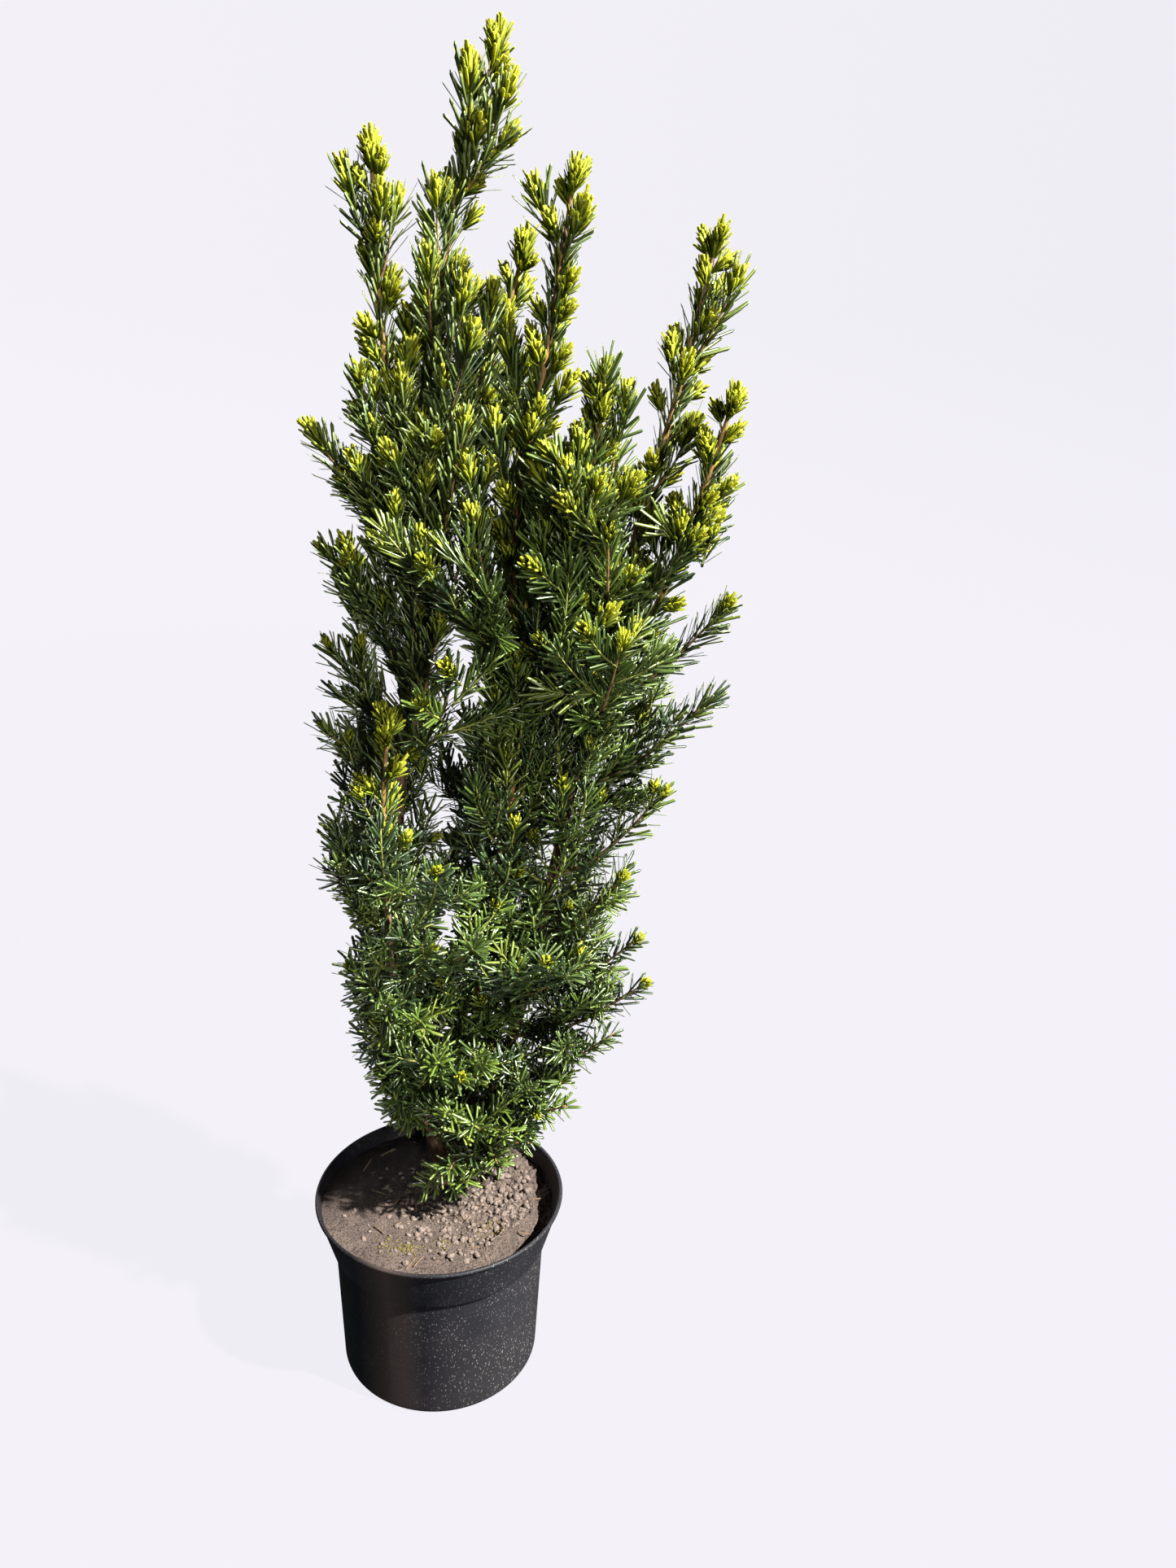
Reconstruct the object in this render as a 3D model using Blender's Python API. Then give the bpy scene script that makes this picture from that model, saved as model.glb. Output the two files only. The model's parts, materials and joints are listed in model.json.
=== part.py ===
"""Potted columnar yew, 1.4 m tall with its pot, in metres with +Z up.

The origin is the centre of the flat underside of the pot. +X is the viewer's right and -Y the front.
A twig is a three-sided stem, and a needle tooth stands out of its sides at every step along it.
"""

import math

import bmesh
import bpy
import numpy as np
from mathutils import Vector
from mathutils.bvhtree import BVHTree

GAP = 0.0003  # clearance between touching solids

POT_HEIGHT = 0.216
POT_RIM_RADIUS = 0.140
POT_BASE_RADIUS = 0.1130
POT_BODY_TOP_RADIUS = 0.1190
POT_COLLAR_RADIUS = 0.1235  # at the collar's lower edge
POT_COLLAR_HEIGHT = 0.056
POT_LIP = 0.0045
POT_CORNER = 0.0065
POT_WALL = 0.0022
POT_FLOOR = 0.003
POT_SIDES = 30

SOIL_LEVEL = 0.2003  # where the trunk stands
SOIL_BUMP = 0.0028
SOIL_TILT = (0.012, -0.050)  # rise per metre to the right and to the back
CRESCENT_DEPTH = 0.020  # where the root ball has shrunk from the wall, at the right
CRESCENT_RADIUS = 0.104
CRESCENT_SLOPE = 0.012
SOIL_LEDGE_MARGIN = 0.006
FOOT_PAD = 0.036
FOOT_BLEND = 0.020
SOIL_RINGS = (0.16, 0.32, 0.48, 0.63, 0.76, 0.88, 1.0)

ROOT_FLARE = 0.75
ROOT_FLARE_HEIGHT = 0.016
ROOT_LOBES = 3
FOOT_RINGS = (0, 0.006, 0.015, 0.030)  # heights above the soil of the rings that shape the flare

NEEDLE_REACH = 0.039  # a tooth stands for several needles, so it is larger than life
NEEDLE_PITCH = 0.029
NEEDLE_LEAN = math.radians(41)
TWIG_RADIUS = 0.0023
PATH_STEP = 0.008
CLEARANCE = 0.0008
LEAST_STEPS = 2
STUB = 0.004
GOLDEN = 0.618034

# Each limb's route starts on its parent's axis at the height "leaves", and runs through its own points
# to its leafy tip. The wood ends at the height "wood", where the leafy top begins. "aims" gives single
# shoots, by number, a heading in degrees of their own.
LIMBS = {
    "trunk": dict(
        parent=None, leaves=None, wood=1.09, radius=(0.0105, 0.0034), sides=10,
        route=[(0.002, 0.038, 0.2006), (-0.020, 0.036, 0.306), (-0.046, 0.033, 0.47), (-0.049, 0.031, 0.63),
               (-0.021, 0.03, 0.923), (0.006, 0.03, 1.195), (0.054, 0.03, 1.372)],
        shoots=(10, 0.29, 1.00), faces=195, spread=135, start=0.10, aims={2: 20}),
    "middle_leader": dict(
        parent="trunk", leaves=0.262, wood=1.03, radius=(0.0072, 0.0032), sides=8,
        route=[(0.021, 0.030, 0.33), (0.056, 0.018, 0.558), (0.078, 0.003, 0.75), (0.075, -0.012, 0.95),
               (0.101, -0.020, 1.12), (0.121, -0.020, 1.262)],
        shoots=(8, 0.31, 0.96), faces=290, spread=120, start=0.50, aims={5: 40}),
    "right_leader": dict(
        parent="trunk", leaves=0.228, wood=1.02, radius=(0.0075, 0.0032), sides=8,
        route=[(0.037, 0.036, 0.272), (0.083, 0.030, 0.424), (0.122, 0.024, 0.625), (0.172, 0.015, 0.887),
               (0.218, 0.010, 1.085), (0.246, 0.010, 1.218)],
        shoots=(9, 0.27, 0.96), faces=0, spread=125, start=0.90, aims={1: 80, 2: -40, 3: -20, 5: 120}),
    "upper_left_leader": dict(
        parent="trunk", leaves=0.935, wood=1.03, radius=(0.0038, 0.0028), sides=6,
        route=[(-0.036, 0.024, 1.02), (-0.050, 0.012, 1.14), (-0.053, 0.002, 1.278)],
        shoots=(1, 1.00, 1.00), faces=190, spread=60, start=0.50),
    "inner_leader": dict(
        parent="trunk", leaves=0.885, wood=1.03, radius=(0.0038, 0.0028), sides=6,
        route=[(0.012, 0.046, 1.01), (0.046, 0.062, 1.11), (0.075, 0.070, 1.213)],
        shoots=(1, 0.98, 0.98), faces=70, spread=60, start=0.35),
    "front_leader": dict(
        parent="middle_leader", leaves=0.735, wood=0.945, radius=(0.0042, 0.0028), sides=6,
        route=[(0.112, -0.022, 0.82), (0.140, -0.043, 0.95), (0.150, -0.055, 1.088)],
        shoots=(2, 0.84, 0.93), faces=300, spread=110, start=0.00),
    "outer_right_leader": dict(
        parent="right_leader", leaves=0.79, wood=0.955, radius=(0.0040, 0.0028), sides=6,
        route=[(0.205, -0.004, 0.885), (0.243, -0.024, 1.00), (0.266, -0.034, 1.087)],
        shoots=(2, 0.86, 0.94), faces=350, spread=90, start=0.45),
    "low_left_stem": dict(
        parent="trunk", leaves=0.243, wood=0.60, radius=(0.0044, 0.0028), sides=6,
        route=[(-0.035, 0.000, 0.36), (-0.044, -0.034, 0.52), (-0.046, -0.052, 0.69), (-0.038, -0.055, 0.79)],
        shoots=(3, 0.34, 0.56), faces=215, spread=95, start=0.05),
    "back_leader": dict(
        parent="trunk", leaves=0.285, wood=0.83, radius=(0.0056, 0.0030), sides=7,
        route=[(0.016, 0.078, 0.40), (0.040, 0.104, 0.60), (0.058, 0.110, 0.83), (0.070, 0.104, 1.06)],
        shoots=(3, 0.44, 0.76), faces=85, spread=110, start=0.05),
}

# The crown's outline: height, then its reach to the left, right, front and back of the pot's axis.
CROWN = (
    (0.25, -0.060, 0.120, -0.080, 0.110),
    (0.35, -0.092, 0.150, -0.110, 0.135),
    (0.45, -0.118, 0.212, -0.125, 0.150),
    (0.65, -0.124, 0.222, -0.130, 0.160),
    (0.85, -0.116, 0.292, -0.125, 0.155),
    (1.05, -0.116, 0.292, -0.105, 0.135),
    (1.15, -0.095, 0.275, -0.085, 0.115),
    (1.30, -0.070, 0.250, -0.060, 0.090),
)
SHOOT_REACH = (0.055, 0.150)
TWIG_REACH_LEAST = 0.026  # a side twig is cut short at the outline, but no shorter than this
OUTLINE_MARGIN = 0.016  # from the end of a shoot or twig to the outline, which its needles fill
SHOOT_RISE = ((0.25, 0.20), (0.45, 0.60), (0.70, 1.00), (1.00, 1.50))
RISE_LIMITS = ((0.25, 0.030, 0.07), (0.40, 0.085, 0.12), (0.80, 0.100, 0.125))  # height, least, most
LOW_SHOOTS = 1.2  # over 1, shoots stand closer together low down
SHOOT_TURNS = np.radians([0, 25, -25, 50, -50, 75, -75, 100, -100])  # tried in turn
SHOOT_SPACE = 0.024  # between a shoot's path and any limb or earlier shoot
SIDE_TWIGS = (0.18, 0.31, 0.45, 0.59, 0.73, 0.87)  # where side twigs leave a shoot, as shares of its length
SIDE_TWIG_ANGLE = math.radians(46)
TOP_TWIG_ANGLE = math.radians(29)
TOP_TWIG_STEP = 0.048
TOP_TWIG_LENGTH = 0.060

MATERIALS = {  # base colour, roughness
    "black_plastic": ((0.018, 0.018, 0.020), 0.48),
    "potting_soil": ((0.200, 0.140, 0.105), 0.95),
    "bark": ((0.230, 0.105, 0.050), 0.80),
    "needles": ((0.035, 0.110, 0.022), 0.45),
    "young_needles": ((0.330, 0.420, 0.030), 0.50),
}


# Curves

def unit(vector):
    return vector / np.linalg.norm(vector, axis=-1, keepdims=True)


def evenly_spaced(points, count):
    """count points at equal steps along a polyline."""
    steps = np.linalg.norm(np.diff(points, axis=0), axis=1)
    along = np.concatenate([[0], np.cumsum(steps)])
    wanted = np.linspace(0, along[-1], count)
    return np.stack([np.interp(wanted, along, points[:, axis]) for axis in range(3)], axis=1)


def smooth_route(points, count):
    """A Catmull-Rom curve through the points, as count evenly spaced points."""
    points = np.asarray(points, float)
    padded = np.vstack([2 * points[0] - points[1], points, 2 * points[-1] - points[-2]])
    t = np.linspace(0, 1, 16)[:, None]
    spans = []
    for a, b, c, d in zip(padded, padded[1:], padded[2:], padded[3:]):
        curve = 2 * b + (c - a) * t + (2 * a - 5 * b + 4 * c - d) * t**2 + (3 * b - a - 3 * c + d) * t**3
        spans.append(curve / 2)
    return evenly_spaced(np.vstack(spans), count)


def bezier(start, first_pull, last_pull, end, step):
    """A cubic Bezier curve as points a step apart."""
    t = np.linspace(0, 1, 40)[:, None]
    curve = (start * (1 - t)**3 + 3 * first_pull * t * (1 - t)**2
             + 3 * last_pull * t**2 * (1 - t) + end * t**3)
    length = np.linalg.norm(np.diff(curve, axis=0), axis=1).sum()
    return evenly_spaced(curve, max(3, round(length / step) + 1))


def frames(path, across):
    """Tangents of a path, and the two directions across it, turned as little as they can be."""
    inner = path[2:] - path[:-2]
    tangent = unit(np.vstack([path[1] - path[0], inner, path[-1] - path[-2]]))
    lift = unit(np.cross(tangent, across))
    return tangent, unit(np.cross(lift, tangent)), lift


def at_height(path, height):
    return np.array([np.interp(height, path[:, 2], path[:, axis]) for axis in range(3)])


# The plan of the plant: limbs, shoots and twigs as paths

def limb_paths():
    """Each limb's whole route, from its parent's axis to its leafy tip."""
    paths = {}
    for name, limb in LIMBS.items():
        route = list(limb["route"])
        if limb["parent"]:
            route.insert(0, at_height(paths[limb["parent"]], limb["leaves"]))
        paths[name] = smooth_route(route, 64)
    return paths


def crown_room(point, heading, height):
    """How far it is from a point to the crown's outline, an ellipse at each height."""
    table = np.array(CROWN)
    left, right, front, back = (np.interp(height, table[:, 0], table[:, column]) for column in range(1, 5))
    half = np.array([right - left, back - front]) / 2
    start = (point[:2] - np.array([left + right, front + back]) / 2) / half
    step = heading[:2] / half
    a, b, c = step @ step, start @ step, start @ start - 1
    return (-b + math.sqrt(max(b * b - a * c, 0))) / a - OUTLINE_MARGIN


def twig(path, across, wings, radius):
    return dict(path=path, across=across, wings=wings, radius=radius)


def side_twigs(main, rng):
    """Side twigs, left and right in turn, near the plane of the shoot that carries them."""
    path = main["path"]
    length = np.linalg.norm(np.diff(path, axis=0), axis=1).sum()
    tangent, across, lift = frames(path, main["across"])
    side = rng.choice((-1, 1))
    found = []
    for share in SIDE_TWIGS:
        at = int(round(share * (len(path) - 1)))
        side = -side
        angle = SIDE_TWIG_ANGLE * rng.uniform(0.85, 1.15)
        roll = rng.uniform(-0.5, 0.7)
        away = side * math.cos(roll) * across[at] + math.sin(roll) * lift[at]
        heading = math.cos(angle) * tangent[at] + math.sin(angle) * away
        reach = (1 - share) * length * 0.55 + rng.uniform(0.042, 0.054)
        reach = max(min(reach, crown_room(path[at], heading, path[at, 2])), TWIG_REACH_LEAST)
        end = path[at] + heading * reach + (tangent[at] + np.array([0, 0, 0.6])) * reach * 0.12
        pull = path[at] + heading * reach * 0.45
        tilt = rng.uniform(-1.2, 1.2)
        flat = np.cross(lift[at] + tilt * np.cross(heading, lift[at]), heading)
        found.append(twig(bezier(path[at], pull, pull, end, PATH_STEP), flat, (0, 2), TWIG_RADIUS * 0.8))
    return found


def side_shoot(path, height, azimuth, rise_share, reach_share):
    """A shoot that leaves its limb sideways, turns up and ends on the crown's outline."""
    start = at_height(path, height)
    heading = np.array([math.cos(azimuth), math.sin(azimuth), 0.0])
    rise_at = np.array(SHOOT_RISE)
    rise = np.interp(height, rise_at[:, 0], rise_at[:, 1]) * rise_share
    reach = float(np.clip(crown_room(start, heading, height + 0.08), *SHOOT_REACH)) * reach_share
    limits = np.array(RISE_LIMITS)
    least, most = (np.interp(height, limits[:, 0], limits[:, column]) for column in (1, 2))
    up = np.array([0, 0, np.clip(reach * rise, least, most)])
    end = start + heading * reach + up
    line = bezier(start, start + heading * reach * 0.45 + up * 0.10,
                  end - heading * reach * 0.25 - up * 0.40, end, PATH_STEP)
    return twig(line, np.cross([0, 0, 1], heading), (0, 1, 2), TWIG_RADIUS)


def leafy_top(path, wood):
    """The end of a limb past its wood, clothed with needles all round."""
    top = path[path[:, 2] > wood]
    top = np.vstack([at_height(path, wood), top])
    length = np.linalg.norm(np.diff(top, axis=0), axis=1).sum()
    line = evenly_spaced(top, round(length / PATH_STEP) + 1)
    return twig(line, np.array([1.0, 0.0, 0.0]), (0, 1, 2), TWIG_RADIUS)


def top_twigs(main, rng):
    """Short upright twigs all round a leafy top."""
    path = main["path"]
    tangent, across, lift = frames(path, main["across"])
    length = PATH_STEP * (len(path) - 1)
    found = []
    for turn, along in enumerate(np.arange(0.4 * TOP_TWIG_STEP, length - 0.3 * TOP_TWIG_STEP, TOP_TWIG_STEP)):
        at = int(round(along / PATH_STEP))
        spin = 2 * math.pi * turn * GOLDEN + rng.uniform(-0.4, 0.4)
        away = math.cos(spin) * across[at] + math.sin(spin) * lift[at]
        angle = TOP_TWIG_ANGLE * rng.uniform(0.85, 1.2)
        heading = math.cos(angle) * tangent[at] + math.sin(angle) * away
        reach = min(TOP_TWIG_LENGTH * rng.uniform(0.85, 1.2), (length - along) * 0.9 + 0.012)
        end = path[at] + heading * reach + tangent[at] * reach * 0.15
        pull = path[at] + heading * reach * 0.5
        line = bezier(path[at], pull, pull, end, PATH_STEP)
        found.append(twig(line, np.cross(tangent[at], away), (0, 1, 2), TWIG_RADIUS * 0.8))
    return found


def roomiest_shoot(path, height, azimuth, rng, blocked):
    """The shoot at the first turn from its azimuth that keeps its distance from what is there already."""
    shares = rng.uniform(0.85, 1.15), rng.uniform(0.86, 1.0)
    tried = []
    for turn in SHOOT_TURNS:
        shoot = side_shoot(path, height, azimuth + turn, *shares)
        apart = np.linalg.norm(shoot["path"][2:, None] - blocked[None], axis=2).min()
        tried.append((apart, -len(tried), shoot))
        if apart > SHOOT_SPACE:
            return shoot
    return max(tried, key=lambda entry: entry[:2])[2]


def plant_plan():
    """Every mass of foliage: its name, the limb that carries it, and its twigs, the main one first."""
    paths = limb_paths()
    blocked = {name: path for name, path in paths.items()}
    plan = []
    for seed, (name, limb) in enumerate(LIMBS.items()):
        rng = np.random.default_rng(seed + 11)
        count, first, last = limb["shoots"]
        for turn, share in enumerate(np.linspace(0, 1, count)):
            height = first + (last - first) * share ** LOW_SHOOTS
            swing = 2 * ((turn * GOLDEN + limb["start"]) % 1) - 1
            azimuth = math.radians(limb.get("aims", {}).get(turn + 1, limb["faces"] + limb["spread"] * swing))
            others = np.vstack([path for other, path in blocked.items() if other != name])
            main = roomiest_shoot(paths[name], height + rng.uniform(-0.008, 0.008), azimuth, rng, others)
            mass = f"{name}_shoot_{turn + 1}"
            blocked[mass] = main["path"][1:]
            plan.append((mass, name, [main] + side_twigs(main, rng)))
        main = leafy_top(paths[name], limb["wood"])
        plan.append((f"{name}_top", name, [main] + top_twigs(main, rng)))
    return paths, plan


# Solids

def tube(rings):
    """Points and faces of a closed tube: each ring runs anticlockwise round the way the tube goes."""
    sides = len(rings[0])
    points = [tuple(point) for ring in rings for point in ring]
    faces = [tuple(range(sides - 1, -1, -1))]
    for ring in range(len(rings) - 1):
        for side in range(sides):
            a, b = ring * sides + side, ring * sides + (side + 1) % sides
            faces.append((a, b, b + sides, a + sides))
    last = (len(rings) - 1) * sides
    faces.append(tuple(range(last, last + sides)))
    return points, faces


def wood_solid(name, paths, swell=0.0):
    """A limb's wood: a tapering tube, with a lobed root flare at the trunk's foot."""
    limb = LIMBS[name]
    path = paths[name]
    wood = path[path[:, 2] < limb["wood"]]
    wood = np.vstack([wood, at_height(path, limb["wood"])])
    wood = evenly_spaced(wood, max(5, round(limb["wood"] * 18 - wood[0, 2] * 18)))
    grounded = limb["parent"] is None
    if grounded:
        foot = [at_height(path, path[0, 2] + rise) for rise in FOOT_RINGS]
        wood = np.vstack([foot, wood[1:]])
    tangent, across, lift = frames(wood, np.array([1.0, 0.0, 0.0]))
    if grounded:
        across[0], lift[0] = (1, 0, 0), (0, 1, 0)
    along = np.concatenate([[0], np.cumsum(np.linalg.norm(np.diff(wood, axis=0), axis=1))])
    rings = []
    for place, share in enumerate(along / along[-1]):
        radius = limb["radius"][0] * (1 - share) + limb["radius"][1] * share + swell
        angles = 2 * math.pi * np.arange(limb["sides"]) / limb["sides"]
        if grounded:
            flare = ROOT_FLARE * math.exp(-along[place] / ROOT_FLARE_HEIGHT)
            radius = radius * (1 + flare * (0.75 + 0.25 * np.cos(ROOT_LOBES * angles)))
        radius = np.broadcast_to(radius, angles.shape)[:, None]
        rings.append(wood[place] + radius * (np.cos(angles)[:, None] * across[place]
                                             + np.sin(angles)[:, None] * lift[place]))
    return tube(rings)


def spray_solid(spec, seed, lost=(), swell=0.0):
    """A three-sided twig with needles as teeth: a four-sided spike on each winged side of each step.

    The third value says whose each face is: (step, side) for a needle's, (step, None) for the stem's.
    """
    path = spec["steps"]
    rng = np.random.default_rng(seed)
    tangent, across, lift = frames(path, spec["across"])
    corner = np.radians([90, 210, 330])
    count = len(path)
    radius = (spec["radius"] + swell) * np.linspace(1, 0.6, count)
    rings = [path[i] + radius[i] * (np.cos(corner)[:, None] * across[i] + np.sin(corner)[:, None] * lift[i])
             for i in range(count)]
    points, faces = tube(rings)
    walls = faces[1:-1]
    points.append(tuple(path[-1] + tangent[-1] * (NEEDLE_REACH * 0.4 + swell)))
    last = 3 * count - 3
    solid = [faces[0]] + [(last + k, last + (k + 1) % 3, 3 * count) for k in range(3)]
    owners = [(0, None)] + [(count - 1, None)] * 3
    for place, (a, b, c, d) in enumerate(walls):
        step, side = divmod(place, 3)
        reach = NEEDLE_REACH * rng.uniform(0.85, 1.08)
        if side not in spec["wings"] or step < spec["bare"] or (step, side) in lost:
            solid += [(a, b, c), (a, c, d)]
            owners += [(step, None)] * 2
            continue
        angle = corner[side] + math.radians(60)
        outward = math.cos(angle) * across[step] + math.sin(angle) * lift[step]
        if len(spec["wings"]) == 2:
            outward = math.cos(angle) * across[step] + 0.25 * lift[step]
        near_tip = max(0.0, 1 - (count - 2 - step) / 2.5)
        lean = NEEDLE_LEAN + near_tip * 0.35
        reach = reach * (1 - 0.2 * near_tip) + swell
        middle = (path[step] + path[step + 1]) / 2
        apex = middle + reach * (math.cos(lean) * unit(outward) + math.sin(lean) * tangent[step])
        tip = len(points)
        solid += [(a, b, tip), (b, c, tip), (c, d, tip), (d, a, tip)]
        owners += [(step, side)] * 4
        points.append(tuple(apex))
    return points, solid, owners


def tree_of(points, faces):
    return BVHTree.FromPolygons([Vector(point) for point in points], faces)


def stepped(spec, limb_tree=None):
    """The twig's path in needle steps. A main twig's foot is moved to its limb's surface, the gap away
    and square to that face."""
    path = spec["path"]
    length = np.linalg.norm(np.diff(path, axis=0), axis=1).sum()
    steps = evenly_spaced(path, max(3, round(length / NEEDLE_PITCH) + 1))
    if limb_tree is None:
        return dict(spec, steps=steps, bare=0)
    way = Vector(path[0] - path[2])
    spot, normal, _, _ = limb_tree.ray_cast(Vector(path[2]), way.normalized(), 1.2 * way.length)
    foot = np.array(spot + normal * GAP)
    stub = foot + np.array(normal) * STUB
    return dict(spec, steps=np.vstack([foot, stub, steps[1:]]), bare=1)


def placed(points, faces):
    return np.min(points, axis=0), np.max(points, axis=0), tree_of(points, faces)


def touched(shape, others):
    """The needles and stem steps of a shape that touch one of the others."""
    points, faces, owners = shape
    low, high, tree = placed(points, faces)
    found = set()
    for other_low, other_high, other_tree in others:
        if np.all(low < other_high) and np.all(other_low < high):
            found |= {owners[mine] for mine, _ in tree.overlap(other_tree)}
    return found


def trimmed(spec, seed, own, others, mass):
    """The twig without the needles that would touch something, cut short where its stem would.

    It is kept clear of its own limb's surface and, a little further, of all the others. Within its mass
    only its needles are kept off the twigs that are there already, because its foot is fused to one.
    """
    lost = set()
    while True:
        shape = spray_solid(spec, seed, lost)
        found = touched(shape, own) | touched(spray_solid(spec, seed, lost, CLEARANCE), others)
        found |= {owner for owner in touched(shape, mass) if owner[1] is not None}
        if not found:
            return shape
        lost |= found
        stopped = [step for step, side in found if side is None]
        if stopped and min(stopped) < LEAST_STEPS:
            return None
        if stopped:
            spec = dict(spec, steps=spec["steps"][:min(stopped)])


def chosen_sprays(plan, limb_trees, fixed):
    """The twigs of each mass: main ones first, then the others in turn, none touching another mass."""
    kept = {name: [] for name, _, _ in plan}
    taken = {name: [] for name, _, _ in plan}
    for turn in range(max(len(twigs) for _, _, twigs in plan)):
        for index, (name, limb, twigs) in enumerate(plan):
            if turn >= len(twigs):
                continue
            spec = stepped(twigs[turn]) if turn else stepped(twigs[0], limb_trees[limb])
            others = [entry for other, entries in taken.items() if other != name for entry in entries]
            others += [entry for other, entry in fixed.items() if turn or other != limb]
            own = [] if turn else [fixed[limb]]
            shape = trimmed(spec, 1000 * index + turn, own, others, taken[name])
            if shape and (turn == 0 or kept[name]):
                kept[name].append(shape[:2])
                taken[name].append(placed(*shape[:2]))
    return kept


# Objects

def material(name):
    made = bpy.data.materials.get(name)
    if made:
        return made
    colour, roughness = MATERIALS[name]
    made = bpy.data.materials.new(name)
    made.use_nodes = True
    shader = made.node_tree.nodes["Principled BSDF"]
    shader.inputs["Base Color"].default_value = (*colour, 1)
    shader.inputs["Roughness"].default_value = roughness
    made.diffuse_color = (*colour, 1)
    return made


def new_object(name, points, faces, finish, origin=(0, 0, 0)):
    """An object whose origin is its own foot, with its mesh around it."""
    mesh = bpy.data.meshes.new(name)
    mesh.from_pydata([tuple(np.subtract(point, origin)) for point in points], [], faces)
    mesh.materials.append(material(finish))
    mesh.update()
    obj = bpy.data.objects.new(name, mesh)
    obj.location = origin
    bpy.context.scene.collection.objects.link(obj)
    return obj


def largest_body(obj):
    """Drops loose scraps and sealed hollows, so that one closed body is left."""
    shape = bmesh.new()
    shape.from_mesh(obj.data)
    left = set(shape.faces)
    bodies = []
    while left:
        body, front = set(), [left.pop()]
        while front:
            face = front.pop()
            body.add(face)
            near = {other for edge in face.edges for other in edge.link_faces} & left
            left -= near
            front += near
        bodies.append(body)
    bodies.sort(key=len)
    scraps = [face for body in bodies[:-1] for face in body]
    bmesh.ops.delete(shape, geom=scraps, context="FACES")
    closed = all(len(edge.link_faces) == 2 for edge in shape.edges)
    shape.to_mesh(obj.data)
    shape.free()
    return closed


def applied(obj):
    """Puts an object's modifiers into its mesh."""
    graph = bpy.context.evaluated_depsgraph_get()
    mesh = bpy.data.meshes.new_from_object(obj.evaluated_get(graph))
    mesh.name = obj.name
    obj.modifiers.clear()
    old = obj.data
    obj.data = mesh
    bpy.data.meshes.remove(old)


def fused(name, solids, finish, solver="EXACT"):
    """One closed body from solids that overlap, by one Boolean union on a collection."""
    origin = solids[0][0][0]
    obj = new_object(name, *solids[0], finish, origin)
    joined = bpy.data.collections.new(name + "_twigs")
    bpy.context.scene.collection.children.link(joined)
    for number, (points, faces) in enumerate(solids[1:]):
        piece = new_object(f"{name}_twig_{number}", points, faces, finish)
        bpy.context.scene.collection.objects.unlink(piece)
        joined.objects.link(piece)
    union = obj.modifiers.new("Fuse twigs", "BOOLEAN")
    union.operation = "UNION"
    union.operand_type = "COLLECTION"
    union.collection = joined
    union.solver = solver
    applied(obj)
    for piece in list(joined.objects):
        bpy.data.objects.remove(piece)
    bpy.data.collections.remove(joined)
    if largest_body(obj):
        return obj
    bpy.data.objects.remove(obj)
    if solver == "EXACT":
        return fused(name, solids, finish, "MANIFOLD")
    return fused(name, solids[:-1], finish)


def cut_clear(obj, cutter_shape):
    """Cuts a bough's foot to the surface of the limb that carries it, the gap away."""
    cutter = new_object(obj.name + "_cutter", *cutter_shape, "bark")
    cutter.hide_render = True
    cutter.display_type = "WIRE"
    cut = obj.modifiers.new("Seat", "BOOLEAN")
    cut.operation = "DIFFERENCE"
    cut.object = cutter
    cut.solver = "EXACT"
    applied(obj)
    bpy.data.objects.remove(cutter)
    largest_body(obj)


def pot_inner_profile():
    """The inside of the pot's wall, from its floor to its lip, as (radius, height)."""
    collar = POT_HEIGHT - POT_COLLAR_HEIGHT
    return [
        (POT_BASE_RADIUS - POT_CORNER, POT_FLOOR),
        (POT_BASE_RADIUS - POT_WALL, POT_CORNER + POT_WALL),
        (POT_BODY_TOP_RADIUS - POT_WALL, collar - POT_WALL),
        (POT_COLLAR_RADIUS - POT_WALL, collar + POT_WALL),
        (POT_RIM_RADIUS - POT_LIP * 0.4 - POT_WALL, POT_HEIGHT - POT_LIP),
        (POT_RIM_RADIUS - POT_LIP * 0.4 - POT_WALL, POT_HEIGHT - POT_WALL * 0.3),
    ]


def pot_outer_profile():
    """The outside, from the flat underside to the top of the rolled lip, as (radius, height)."""
    collar = POT_HEIGHT - POT_COLLAR_HEIGHT
    corner = [(POT_BASE_RADIUS - POT_CORNER * (1 - math.sin(turn)), POT_CORNER * (1 - math.cos(turn)))
              for turn in np.linspace(0, math.pi / 2, 4)]
    bead = POT_LIP / 2
    lip = [(POT_RIM_RADIUS - bead + bead * math.cos(turn), POT_HEIGHT - bead + bead * math.sin(turn))
           for turn in np.radians([-70, -20, 30, 90])]
    return (corner + [(POT_BODY_TOP_RADIUS, collar - 0.001), (POT_COLLAR_RADIUS - 0.001, collar),
                      (POT_COLLAR_RADIUS, collar + 0.0015)] + lip)


def make_pot():
    """The profile of the wall turned round the axis: a body, a flared collar and a rolled lip."""
    profile = [(0, 0)] + pot_outer_profile() + pot_inner_profile()[::-1] + [(0, POT_FLOOR)]
    mesh = bpy.data.meshes.new("pot")
    shape = bmesh.new()
    line = [shape.verts.new((radius, 0, height)) for radius, height in profile]
    edges = [shape.edges.new(pair) for pair in zip(line, line[1:])]
    bmesh.ops.spin(shape, geom=line + edges, cent=(0, 0, 0), axis=(0, 0, 1), angle=2 * math.pi,
                   steps=POT_SIDES, use_merge=True)
    bmesh.ops.remove_doubles(shape, verts=shape.verts, dist=0.00001)
    bmesh.ops.recalc_face_normals(shape, faces=shape.faces)
    shape.to_mesh(mesh)
    shape.free()
    mesh.materials.append(material("black_plastic"))
    pot = bpy.data.objects.new("pot", mesh)
    bpy.context.scene.collection.objects.link(pot)
    mesh.shade_smooth()
    mesh.set_sharp_from_angle(angle=math.radians(30))
    return pot


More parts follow.
